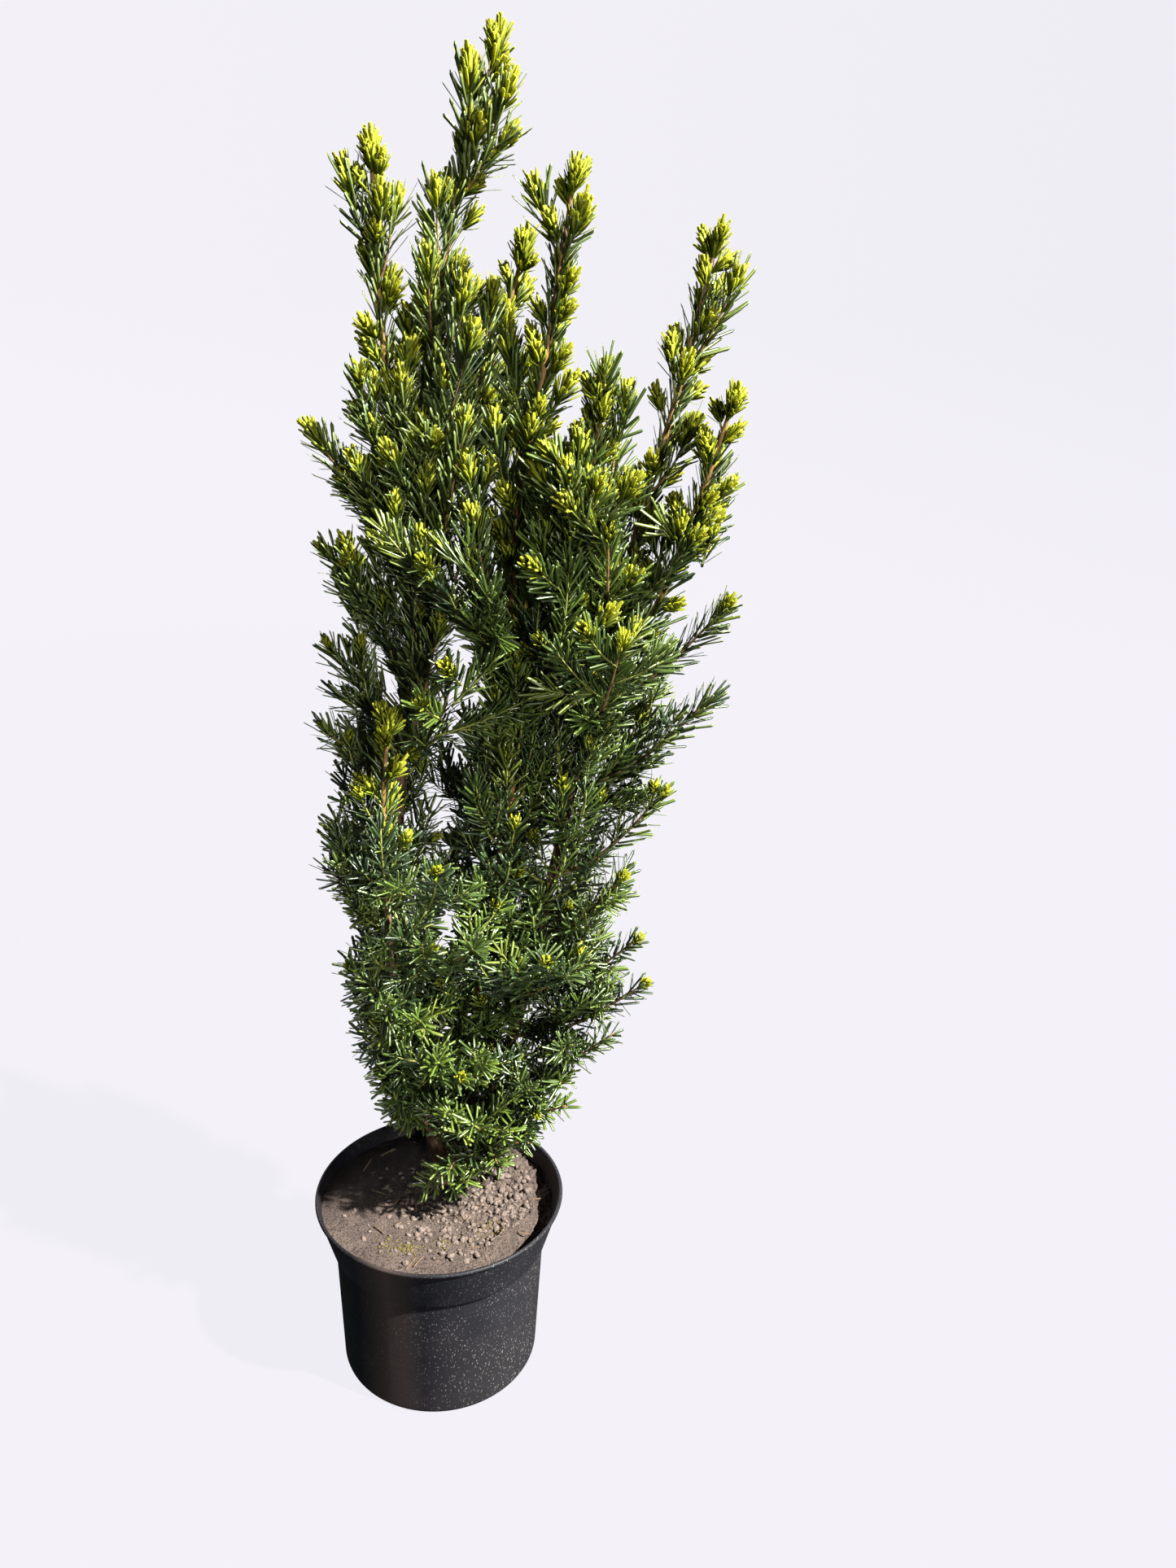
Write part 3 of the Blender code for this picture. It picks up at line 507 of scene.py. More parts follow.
def rings_round(line, side, lift, radius):
    """Rings round a line: each point is the ring's middle plus its own radius times the cosine of its
    angle to the side and the sine of it upwards. radius has a row for each ring."""
    turn = turns(radius.shape[1])
    ring = np.cos(turn)[None, :, None] * side[:, None] + np.sin(turn)[None, :, None] * lift[:, None]
    return line[:, None] + radius[..., None] * ring


def level_rings(radius, height, sides):
    """Rings round the upright axis, from their radii and heights."""
    x, y = radius[:, None] * np.cos(turns(sides)), radius[:, None] * np.sin(turns(sides))
    return np.stack([x, y, np.broadcast_to(height[:, None], x.shape)], axis=2)


def closed_tube(rings):
    """A tube closed by a point in the middle of each end: its points, quads, and triangles, the first
    end's first."""
    count, sides = rings.shape[:2]
    points = np.vstack([rings.reshape(-1, 3), rings[0].mean(axis=0), rings[-1].mean(axis=0)])
    k = np.arange(sides)
    n = (k + 1) % sides
    row = np.arange(count - 1)[:, None] * sides
    quads = np.stack([row + k, row + n, row + n + sides, row + k + sides], axis=2).reshape(-1, 4)
    pole, last = count * sides, (count - 1) * sides
    ends = [np.stack([n, k, 0 * k + pole], axis=1), np.stack([last + k, last + n, 0 * k + pole + 1], axis=1)]
    return points, quads, np.vstack(ends)


def tubes_piece(name, tubes, finish):
    """Tubes, each given as its rings, closed and joined into one piece."""
    points, quads, triangles = zip(*[closed_tube(rings) for rings in tubes])
    starts = np.cumsum([0] + [len(part) for part in points])
    faces = [np.vstack([part + start for part, start in zip(kind, starts)]) for kind in (quads, triangles)]
    return mesh_piece(name, np.vstack(points), faces, [finish])


def value_noise(u, v, cells, seed, wrap=None):
    """Smooth noise from -1 to 1: random values on a square lattice, eased between its points. With wrap,
    u repeats after that many cells."""
    table = np.random.default_rng(seed).uniform(-1, 1, (257, 257))
    x, y = u * cells, v * cells
    if wrap:
        x = x % wrap
    i, j = np.floor(x).astype(int), np.floor(y).astype(int)
    fx, fy = x - i, y - j
    fx, fy = fx * fx * (3 - 2 * fx), fy * fy * (3 - 2 * fy)
    i1 = (i + 1) % wrap if wrap else i + 1
    i, i1, j, j1 = i % 257, i1 % 257, j % 257, (j + 1) % 257
    low = table[i, j] * (1 - fx) + table[i1, j] * fx
    high = table[i, j1] * (1 - fx) + table[i1, j1] * fx
    return low * (1 - fy) + high * fy


# Finishes

class Value:
    """A number that varies over a surface. Arithmetic on it adds Math nodes."""

    def __init__(self, finish, socket):
        self.finish, self.socket = finish, socket

    def math(self, operation, *others):
        inputs = dict(enumerate((self,) + others))
        return self.finish.value("ShaderNodeMath", {"operation": operation}, inputs)

    def __add__(self, other):
        return self.math("ADD", other)

    def __mul__(self, other):
        return self.math("MULTIPLY", other)

    def __sub__(self, other):
        return self.math("SUBTRACT", other)

    def __rsub__(self, other):
        return (self * -1) + other

    def absolute(self):
        return self.math("ABSOLUTE")

    def clamped(self):
        return self.finish.value("ShaderNodeClamp", {}, {"Value": self})

    def step(self, low, high):
        """0 under low, 1 over high and smooth between."""
        return self.finish.value("ShaderNodeMapRange", {"interpolation_type": "SMOOTHSTEP"},
                                 {"Value": self, "From Min": low, "From Max": high})


class Finish:
    """A material: its nodes, and the shader that they feed."""

    def __init__(self, name, **constants):
        self.material = bpy.data.materials.new(name)
        self.material.use_nodes = True
        self.tree = self.material.node_tree
        self.shader = self.tree.nodes["Principled BSDF"]
        self.set(**constants)

    def put(self, socket, value):
        if isinstance(value, Value):
            value = value.socket
        if isinstance(value, bpy.types.NodeSocket):
            self.tree.links.new(value, socket)
        elif socket.type == "RGBA":
            socket.default_value = (*value, 1)
        else:
            socket.default_value = value

    def node(self, kind, settings, inputs):
        """A node of this type, with its settings first and then its sockets' values or links."""
        made = self.tree.nodes.new(kind)
        for key, value in settings.items():
            setattr(made, key, value)
        for key, value in inputs.items():
            self.put(made.inputs[key], value)
        return made

    def value(self, kind, settings, inputs, output=0):
        """The output of a new node."""
        return Value(self, self.node(kind, settings, inputs).outputs[output])

    def place(self, scale, turn):
        """Object coordinates, turned and scaled."""
        where = self.node("ShaderNodeTexCoord", {}, {}).outputs["Object"]
        return self.value("ShaderNodeMapping", {}, {"Vector": where, "Rotation": turn, "Scale": scale})

    def noise(self, scale, detail=3.0, roughness=0.5, stretch=(1, 1, 1)):
        inputs = {"Vector": self.place(stretch, (0, 0, 0)), "Scale": scale, "Detail": detail,
                  "Roughness": roughness}
        return self.value("ShaderNodeTexNoise", {}, inputs)

    def cells(self, scale, stretch=(1, 1, 1), turn=(0, 0, 0), output="Distance"):
        inputs = {"Vector": self.place(stretch, turn), "Scale": scale}
        return self.value("ShaderNodeTexVoronoi", {}, inputs, output)

    def side(self, axis=0):
        """How far to the object's right a point lies, or to its back, in metres."""
        where = self.node("ShaderNodeTexCoord", {}, {}).outputs["Object"]
        return self.value("ShaderNodeSeparateXYZ", {}, {0: where}, axis)

    def mix(self, first, second, factor):
        """One colour turning into another."""
        return self.value("ShaderNodeMix", {"data_type": "RGBA"}, {0: factor, 6: first, 7: second}, 2)

    def bump(self, height, distance):
        inputs = {"Height": height, "Distance": distance, "Strength": 1.0}
        self.set(Normal=self.value("ShaderNodeBump", {}, inputs))

    def set(self, **sockets):
        for key, value in sockets.items():
            self.put(self.shader.inputs[key.replace("_", " ")], value)
        return self.material


def leaf_finish(name, roughness=0.42, coat=0.85, shine=0.85, through=0.0):
    """Waxy needle: one plain colour per spray that drifts a little over the plant, and an uneven gloss.
    through is how much light passes inside it, on the soft young ones."""
    finish = Finish(name, Coat_Weight=coat, Coat_Roughness=0.30, Specular_IOR_Level=shine,
                    Subsurface_Weight=through, Subsurface_Radius=(1.0, 1.0, 0.25), Subsurface_Scale=0.002)
    drift = finish.noise(26, 2).step(0.35, 0.65)
    gloss = finish.noise(240, 2) * 0.18 + (roughness - 0.09)
    finish.bump(finish.noise(900, 1), 0.00006)
    colour, shade = LEAF_COLOURS[name]
    return finish.set(Base_Color=finish.mix(shade, colour, drift), Roughness=gloss)


def bark_finish(name):
    """Thin bark that flakes in long plates: colour by plates stretched along the stem, dark in the cracks."""
    finish = Finish(name)
    colour, flake, hollow, roughness = BARK_COLOURS[name]
    plates = finish.noise(130, 4, 0.6, (1, 1, 0.18))
    cracks = finish.noise(330, 3, 0.7, (1, 1, 0.14))
    base = finish.mix(colour, flake, plates.step(0.45, 0.68) * finish.noise(22, 2).step(0.3, 0.7))
    finish.bump(plates * 0.6 + cracks * 0.4, 0.0007)
    return finish.set(Base_Color=finish.mix(base, hollow, 1 - cracks.step(0.36, 0.50)),
                      Roughness=plates * 0.12 + (roughness - 0.06))


def pot_finish():
    """Black moulded plastic: a painted reflection of brown ground as a band just left of the middle, with
    brown patches at random, fine moulding lines, dust, the sunny right side painted lighter, and short pale
    scuffs that crowd towards the right and are painted faint where the pot is in shade."""
    finish = Finish("black_pot_plastic", Specular_IOR_Level=0.16)
    cast = finish.noise(7, 2).step(0.40, 0.66)
    # Painted reflection: a brown band just left of the middle stands in for sunlit ground mirrored in the
    # plastic.
    middle = (1 - (finish.side() + 0.042).absolute() * 26).clamped()
    base = finish.mix((0.0042, 0.0047, 0.0078), (0.0460, 0.0340, 0.0310), middle * 0.85 + cast * 0.15)
    film = finish.noise(38, 5, 0.65).step(0.36, 0.74)
    # Painted light: the right side, which faces the sun, is mixed lighter and greyer here.
    right = (finish.side() * 9.0 + 0.25).clamped()
    base = finish.mix(base, (0.034, 0.034, 0.038), film * 0.05 + right * 0.30)
    scuffs = None
    for scale, tilt, keep in ((430, 0.25, 0.46), (560, -0.45, 0.52), (330, 0.9, 0.24)):
        short, turned = (1, 1, 0.42), (tilt, tilt * 0.6, 0)
        streak = finish.cells(scale, short, turned).step(0.10, 0.30)
        pick = finish.cells(scale, short, turned, "Color").step(keep - 0.04, keep)
        mark = (1 - streak) * (1 - pick)
        scuffs = mark if scuffs is None else scuffs + mark
    crowd = finish.noise(14).step(0.36, 0.62)
    # The scuffs are real, but fading them away from the sunny right side is painted shade: they show only
    # where the light falls.
    scuffs = (scuffs * (crowd * 0.7 + 0.3) * (right * 0.75 + 0.25)).clamped()
    base = finish.mix(base, (0.22, 0.22, 0.225), scuffs * 0.70)
    rings = finish.noise(60, 2, stretch=(0.02, 0.02, 6))
    finish.bump(rings * 0.5 + finish.noise(700, 2) * 0.3 + scuffs * 0.4, 0.00022)
    return finish.set(Base_Color=base, Roughness=film * 0.14 + scuffs * 0.25 + 0.44)


def soil_finish():
    """Dry compost: pinkish grey-brown, with painted shade in the hollows between the crumbs and at the back
    left.
    """
    finish = Finish("dry_compost", Roughness=0.95, Specular_IOR_Level=0.2)
    crumbs = finish.noise(420, 5, 0.7)
    patches = finish.noise(30, 4, 0.6).step(0.35, 0.65)
    grit = finish.cells(520)
    pale = (1 - grit.step(0.08, 0.22)) * finish.noise(260).step(0.50, 0.56)
    # Painted shade: the back left, where the crown's shadow falls, is darkened.
    painted_shade = (finish.side(1) * 9 - finish.side() * 7 - 0.05).clamped() * 0.8
    base = (0.040, 0.030, 0.027)
    # The near-black mix where the crumbs noise is low, which also sets the hollows of the bump, is painted
    # shade between the crumbs.
    for colour, share in (((0.124, 0.095, 0.081), patches * 0.4 + crumbs.step(0.32, 0.68) * 0.6),
                          ((0.020, 0.014, 0.012), 1 - crumbs.step(0.37, 0.47)),
                          ((0.26, 0.215, 0.185), pale), ((0.018, 0.014, 0.014), painted_shade)):
        base = finish.mix(base, colour, share)
    finish.bump(crumbs + grit * 0.4, 0.0022)
    return finish.set(Base_Color=base)


def plain_grain_finish(name, light, dark, scale, roughness=0.9, depth=0.0004):
    """A small rough thing: two shades and a grain."""
    finish = Finish(name, Specular_IOR_Level=0.25)
    grain = finish.noise(scale, 4, 0.65)
    finish.bump(grain, depth)
    colour = finish.mix(dark, light, grain.step(0.34, 0.62))
    return finish.set(Base_Color=colour, Roughness=grain * 0.1 + roughness)


# Needles and young tips

def blade_points(root, way, face, bend, length, width, thickness, rings):
    """Three-sided blades: the middle line is root + (way t + bend t squared) times length, and each ring
    has a left edge, an upper ridge and a right edge. Both ends are points."""
    across = np.cross(face, way)
    long = length[:, None]
    rows = [root]
    for share, half in rings:
        middle = root + (way * share + bend * share**2) * long
        side = across * (width * half / 2)[:, None]
        rows += [middle + side, middle + face * (thickness * half)[:, None], middle - side]
    rows.append(root + (way + bend) * long)
    return np.stack(rows, axis=1)


def blade_faces(rings, part):
    """The quads and triangles of one blade, or those of its upper or lower side, its body or its tip."""
    k = {"upper": np.array([0, 1]), "lower": np.array([2])}.get(part, np.arange(3))
    n = (k + 1) % 3
    last = 1 + 3 * (rings - 1)
    root = np.stack([0 * k, 1 + n, 1 + k], axis=1)
    tip = np.stack([last + k, last + n, 0 * k + last + 3], axis=1)
    quads = np.vstack([np.stack([1 + k, 1 + n, 4 + n, 4 + k], axis=1) + 3 * row for row in range(rings - 1)])
    return {"body": [quads[:3], root], "tip": [quads[3:], tip]}.get(part, [quads, root, tip])


def blade_pieces(name, rows, rings, parts, finishes, slot):
    """Needles of one colour in pieces of under 200,000 triangles. Each part of a blade has its finish."""
    arrays = [np.concatenate(column) for column in zip(*rows)]
    total = len(arrays[0])
    pieces = math.ceil(total / (PIECE_NEEDLES if len(rings) == 2 else PIECE_TUFTS))
    for piece in range(pieces):
        low, high = total * piece // pieces, total * (piece + 1) // pieces
        points = blade_points(*[array[low:high] for array in arrays], rings)
        starts = (np.arange(len(points)) * points.shape[1])[:, None, None]
        faces, kinds = [], []
        for kind, part in enumerate(parts):
            for group in blade_faces(len(rings), part):
                faces.append((group[None] + starts).reshape(-1, group.shape[1]))
                kinds.append(min(kind, len(finishes) - 1))
        label = name if pieces == 1 else f"{name}_{piece + 1}"
        dressed(mesh_piece(label, points, faces, finishes, kinds), slot)


def along_path(path, across, distances):
    """Position, tangent, side and lift at distances along a path."""
    along = distances_along(path)
    spot, *ways = [sampled(values, along, distances) for values in (path, *frames(path, across))]
    return spot, *[unit(way) for way in ways]


def open_side(points):
    """The way a needle at these points turns its upper side: out from the middle of the crown, up, and a
    little to the sunny right."""
    out = np.column_stack([(points[:, :2].T - crown_ellipse(points[:, 2])[0]).T, np.zeros(len(points))])
    out /= np.maximum(np.linalg.norm(out, axis=1, keepdims=True), 0.03)
    return unit(out * 0.65 + np.array([0.30, -0.10, 0.70]))


def needles_on(path, across, rng, spacing=NEEDLE_SPACING, length=1.0, ranked=0.0, bare=0.0, steeper=1.0,
               radius=0.001, clear=0.0):
    """Needles along a twig. Ranked ones lie to its left and right and lift a little, the others turn
    round it by the golden angle. They lean forward near its tip, are shorter at both ends and turn their
    upper sides to the light. bare and clear are left free at its foot and its tip."""
    total = path_length(path)
    distances = np.arange(bare + spacing * rng.uniform(0.2, 1), total + spacing * 0.5 - clear, spacing)
    count = len(distances)
    if count == 0:
        return None
    distances = np.clip(distances + rng.uniform(-0.3, 0.3, count) * spacing, 0, total)
    spot, tangent, side, lift = along_path(path, across, distances)
    share = distances / total
    turn = GOLDEN_TURN * np.arange(count) + rng.uniform(-0.35, 0.35, count)
    hand = np.where(np.arange(count) % 2, 1.0, -1.0)
    roll = rng.normal(0.26, 0.22, count)
    flat_away = (hand * np.cos(roll))[:, None] * side + np.sin(roll)[:, None] * lift
    round_away = np.cos(turn)[:, None] * side + np.sin(turn)[:, None] * lift
    away = unit(flat_away * ranked + round_away * (1 - ranked) + 1e-4)
    angle = np.radians(by_height(NEEDLE_ANGLES, spot[:, 2])) * steeper
    lean = angle * rng.uniform(0.85, 1.15, count) - np.clip((share - 0.72) / 0.28, 0, 1) * math.radians(22)
    way = np.cos(lean)[:, None] * tangent + np.sin(lean)[:, None] * away
    light = open_side(spot)
    flip = np.where((lift * light).sum(axis=1) < 0, -1.0, 1.0)[:, None]
    face = flip * lift * ranked * 0.6 + tangent * 0.2 + light * 0.9 + rng.normal(0, 0.26, (count, 3))
    face = unit(face - (face * way).sum(axis=1, keepdims=True) * way)
    ends = np.clip(0.62 + 2.6 * share, 0, 1) * np.clip(0.55 + 3.2 * (1 - share), 0, 1)
    sizes = length * by_height(NEEDLE_LENGTHS, spot[:, 2]) * ends * rng.uniform(0.84, 1.10, count)
    curl = rng.normal(0.10, 0.14, count) + np.interp(spot[:, 2], (0.5, 0.8), (0.0, 0.16))
    bend = tangent * curl[:, None] - away * (curl * 0.25)[:, None]
    bend += face * rng.normal(0, 0.05, count)[:, None]
    widths = NEEDLE_WIDTH * rng.uniform(0.85, 1.12, count)
    return spot + away * radius * 0.6, way, face, bend, sizes, widths, np.full(count, NEEDLE_THICKNESS)


def tuft(tip, heading, size, rng, crowd):
    """A young shoot like a club: soft needles half as long as the shoot overlap in layers along it. The
    lower ones lean out further, and the top ones close over the tip."""
    start = tip - heading * size * 0.38
    helper = np.array([0.3, 1.0, 0.2]) if abs(heading[2]) > 0.8 else UP
    side = unit(np.cross(heading, helper))
    lift = np.cross(heading, side)
    share = (np.arange(crowd) + rng.uniform(0.2, 0.8, crowd)) / crowd
    turn = GOLDEN_TURN * np.arange(crowd) + rng.uniform(-0.3, 0.3, crowd)
    away = np.cos(turn)[:, None] * side + np.sin(turn)[:, None] * lift
    lean = np.radians(38 - 24 * share) * rng.uniform(0.75, 1.25, crowd)
    way = np.cos(lean)[:, None] * heading + np.sin(lean)[:, None] * away
    face = unit(heading - (way @ heading)[:, None] * way + 1e-5)
    root = start + heading * (share * size * 0.48)[:, None] + away * 0.0007
    sizes = (0.004 + size * 0.44) * rng.uniform(0.88, 1.12, crowd)
    bend = heading * rng.uniform(0.00, 0.12, crowd)[:, None] + away * rng.uniform(-0.14, 0.12, crowd)[:, None]
    widths = (0.0028 + 0.044 * size) * rng.uniform(0.85, 1.15, crowd)
    return share, (root, way, face, bend, sizes, widths, np.full(crowd, NEEDLE_THICKNESS * 0.9))


# The crown of twigs, grown from the plan and carried to finer ones

class Growth:
    """The stems, needles and tufts of the plant as it grows."""

    def __init__(self, paths):
        self.paths = paths
        self.limbs = np.vstack(list(paths.values()))
        self.wood = np.array([at_height(paths[name], height) for name, low, high in SHOWN_WOOD
                              for height in np.arange(low, high, SHOWN_WIDTH)])
        self.stems = {"brown": [], "tan": [], "green": []}
        self.needles = {tone: [] for tone in TONES}
        self.tufts = {"green": [], "lime": []}

    def kept(self, path, least=4):
        """A twig up to where it leaves the outline, strays too far from every limb, crosses a gap or hides
        wood that shows, or None if it starts there."""
        along, apart, reach = off_sight(path, self.wood)
        hides = ((apart < SHOWN_WIDTH) & (along < reach - SHOWN_WIDTH)).any(axis=1)
        x, z, size = SKY_GAPS.T
        along, apart, reach = off_sight(path, np.stack([x, 0 * x, z], axis=1))
        gap = (apart < size * along / reach).any(axis=1)
        away = np.linalg.norm(path[:, None] - self.limbs[None], axis=2).min(axis=1)
        out = (outline_share(path) > 1) | (away > by_height(LIMB_ROOM, path[:, 2]))
        if out[0] or gap[:2].any() or hides[:2].any():
            return None
        out |= gap | hides
        return path[:max(int(np.argmax(out)) if out.any() else len(path), least)]

    def stem(self, path, across, first, last, kind, sides=5):
        radius = np.repeat(np.linspace(first, last, len(path))[:, None], sides, axis=1)
        self.stems[kind].append(rings_round(path, *frames(path, across)[1:], radius))

    def spray(self, path, across, rng, ranked, **choices):
        """Needles of one tone, which is drawn by the shares at the twig's height."""
        shares = np.array(by_height(TONE_SHARES, path[-1, 2]))
        tone = TONES[int(rng.choice(4, p=shares / shares.sum()))]
        found = needles_on(path, across, rng, ranked=ranked, **choices)
        if found:
            self.needles[tone].append(found)

    def tip(self, path, rng, young=1.0, size=None):
        """A young tuft at the end of a twig, by a chance and a size that rise with height."""
        height = path[-1, 2]
        if rng.random() > by_height(TUFT_CHANCE, height) * young:
            return
        size = (by_height(TUFT_SIZE, height) if size is None else size) * rng.uniform(0.8, 1.25)
        self.tuft(path[-1], unit(path[-1] - path[-2]), size, rng)

    def tuft(self, spot, heading, size, rng):
        crowd = int(12 + size * 620)
        share, arrays = tuft(spot, heading, size, rng, crowd)
        young = share + rng.normal(0, 0.12, crowd) > 0.46
        for tone, chosen in (("green", ~young), ("lime", young)):
            if chosen.any():
                self.tufts[tone].append([array[chosen] for array in arrays])
        line = spot + heading * (np.array([-0.5, 0.0, 0.4]) * size)[:, None]
        self.stem(line, np.cross(heading, [0.3, 0.5, 0.9]), 0.0012, 0.0006, "green", 4)

    def necked_tuft(self, foot, heading, across, neck, size, rng):
        line = foot + heading * (np.array([0.0, 0.5, 1.0]) * neck)[:, None]
        self.stem(line, across, 0.0012, 0.0009, "green", 4)
        self.tuft(line[-1], heading, size, rng)

    def twig(self, path, across, rng, radius, finer, ranked, kind="green", bare=0.0, free=False, young=1.0,
             length=1.0):
        """One twig with its needles, its tip, and finer twigs along it. young scales its chance of a tuft,
        and length its needles. A free one isn't cut."""
        path = path if free else self.kept(path)
        if path is None:
            return
        self.stem(path, across, radius, max(0.0006, radius * 0.45), kind)
        self.spray(path, across, rng, ranked, bare=bare, radius=radius, length=length)
        self.tip(path, rng, young)
        total = path_length(path)
        high = ramp(path[-1, 2], 0.60, 0.95)
        count = int(finer * total / (0.022 + 0.030 * high))
        side = rng.choice((-1, 1))
        for share in np.linspace(0.22, 0.82, count) if count else ():
            side = -side
            reach = min(0.050 + 0.012 * high, 0.018 + 0.50 * (1 - share) * total) * rng.uniform(0.8, 1.2)
            line, flat = short_twig(path, across, share, side, reach, rng, 0.78 - 0.26 * high)
            line = self.kept(line, 3)
            if line is None:
                continue
            self.stem(line, flat, FINE_TWIG_RADIUS, 0.0006, "green", 4)
            self.spray(line, flat, rng, ranked, radius=0.0009)
            self.tip(line, rng, 0.40)

    def shoot(self, rng, limb, height, heading, reach, rise, pulls, *kind, **choices):
        """A twig that leaves a limb at a height, and ends a reach along its heading and a rise up."""
        line = arched(at_height(self.paths[limb], height), heading * reach, UP * rise, *pulls)
        self.twig(line, np.cross(UP, heading), rng, *kind, **choices)


def short_twig(path, across, share, side, length, rng, angle):
    """A finer twig from a share of the way along another, to one side of it and a little forward."""
    at = int(round(share * (len(path) - 1)))
    tangent, sideways, lift = frames(path, across)
    away = swung(side * sideways[at], lift[at], rng.uniform(-0.6, 0.9))
    heading = swung(tangent[at], away, angle * rng.uniform(0.8, 1.15))
    return spur(path[at], heading, length, UP * 0.14, step=0.006), np.cross(lift[at], heading)


def grow_masses(growth, plan):
    """The twigs of every mass of the plan, with finer ones between. They end a little short of the
    solids' tips, where their needles and tufts make up the rest."""
    for number, (name, twigs) in enumerate(plan.items()):
        rng = np.random.default_rng(500 + number)
        top = name.endswith("_top")
        for place, (path, across) in enumerate(twigs):
            main = place == 0
            cut = {"trunk_top": 2}.get(name, 1) if top and main else round(TIP_CUT / PATH_STEP)
            path = path[:max(4, len(path) - cut)]
            steep = abs(unit(path[-1] - path[0])[2])
            ranked = float(np.clip((1.05 - steep) * 1.8, 0.25, 0.6))
            if top and main:
                grow_top(growth, path, across, rng)
            elif main:
                growth.twig(path, across, rng, TWIG_RADIUS * 0.95, 0.7, ranked, "brown", bare=0.012)
            elif not top:
                growth.twig(path, across, rng, TWIG_RADIUS * 0.6, 0.6, ranked, young=0.7)
            else:
                path = path[path[:, 2] < twigs[0][0][-1, 2] - 0.04]
                if len(path) >= 4:
                    growth.twig(path, across, rng, TWIG_RADIUS * 0.6, 0, 0, bare=path_length(path) * 0.35,
                                young=9, length=0.8)


def grow_top(growth, path, across, rng):
    """The end of a leader: old needles up to a clear stretch, and there young shoots. Four short ones
    close round its tip, and longer ones stand on bare necks below."""
    growth.stem(path, across, 0.0032, 0.0018, "tan", 8)
    growth.spray(path, across, rng, 0.0, spacing=0.0017, radius=0.003, steeper=0.90, length=0.90,
                 clear=TOP_CLEAR * 0.6)
    growth.tip(path, rng, 9, 0.036)
    below = np.concatenate([[0.006, 0.014, 0.024, 0.036], np.arange(0.062, TOP_CLEAR + 0.060, 0.020)])
    start = rng.uniform(0, 2 * math.pi)
    places = zip(*along_path(path, RIGHT, path_length(path) - below))
    for turn, (spot, tangent, side, lift) in enumerate(places):
        away = swung(side, lift, start + GOLDEN_TURN * turn)
        heading = swung(tangent, away, rng.uniform(0.42, 0.66))
        neck, size = rng.uniform(0.016, 0.028), rng.uniform(0.026, 0.036)
        if turn < 4:
            neck, size = neck * 0.62, size * 0.80
        growth.necked_tuft(spot, heading, np.cross(tangent, away), neck, size, rng)


def grow_limb_shoots(growth):
    """Short shoots straight from the limbs, turning round them by the golden angle, between the long ones."""
    for seed, (name, limb) in enumerate(LIMBS.items()):
        rng = np.random.default_rng(900 + seed)
        low = max(limb["shoots"][1] - 0.02, 0.275)
        for turn, height in enumerate(np.arange(low, limb["wood"] + 0.03, LIMB_SHOOT_STEP)):
            heading = level(GOLDEN_TURN * turn + seed)
            length = rng.uniform(*LIMB_SHOOT_LENGTH) * np.interp(height, (0.6, 0.8, 1.05), (1.0, 1.35, 0.8))
            reach = length * np.interp(height, (0.45, 0.75, 1.0), (0.80, 0.42, 0.32))
            rise = length * np.interp(height, (0.25, 0.45, 1.0), (0.35, 0.70, 1.0))
            room = crown_room(at_height(growth.paths[name], height), heading, height + 0.03)
            growth.shoot(rng, name, height, heading, min(reach, max(room, 0.02)), rise,
                         ((0.5, 0.15), (0, 0.35)), 0.0016, 0.55, 0.15 if height > 0.7 else 0.35, bare=0.006)


def grow_long_shoots(growth):
    """The long shoots that show singly: they leave sideways, turn up and carry short twigs."""
    for number, (limb, (height, *tip)) in enumerate(LONG_SHOOTS):
        rng = np.random.default_rng(1200 + number)
        way = tip - at_height(growth.paths[limb], height)
        reach = math.hypot(way[0], way[1])
        growth.shoot(rng, limb, height, way * [1, 1, 0] / reach, reach, way[2],
                     ((0.45, 0.15), (0.25, 0.35), PATH_STEP), 0.0022 if height < 0.95 else 0.0014, 0.75, 0.5,
                     "brown", bare=0.012, free=True, length=1.15,
                     young=9 if height < 0.7 and number % 3 else 1.4)


def grow_foot_shoots(growth):
    """Low shoots that lie out over the compost to the front and right of the stems."""
    rng = np.random.default_rng(77)
    for turn in range(9):
        reach = rng.uniform(0.07, 0.098)
        rise = rng.uniform(0.004, 0.03) + 0.002 * turn
        heading = level(math.radians(-42 + 56 * golden(turn, 0.15)))
        growth.shoot(rng, "right_leader", 0.238 + 0.06 * turn / 8, heading, reach, rise,
                     ((0.4, 0.5), (0.3, 0.1)), 0.0018, 0.7, 0.4, "brown", bare=0.01,
                     young=99 if turn == 8 else 0)


def grow_front_shoots(growth):
    """Short shoots on the side towards the viewer, which hide most of the wood of the stems."""
    for number, (name, low, top, step) in enumerate(FRONT_SHOOTS):
        rng = np.random.default_rng(1400 + number)
        for turn, height in enumerate(np.arange(low, top, step)):
            heading = level(math.radians(-90 + 78 * golden(turn, 0.3)))
            high = ramp(height, 0.56, 0.7)
            length = rng.uniform(0.04, 0.07) + high * rng.uniform(0.035, 0.08)
            reach = length * np.interp(height, (0.5, 0.68), (0.85, 0.36))
            rise = length * np.interp(height, (0.25, 0.5, 0.68), (0.35, 0.5, 0.92))
            growth.shoot(rng, name, height, heading, reach, rise, ((0.6, 0.2), (0, 0.4 * high)), 0.0016,
                         0.4 - 0.3 * high, 0.15 + 0.35 * high, bare=0.006 + 0.02 * high, young=1 + high)


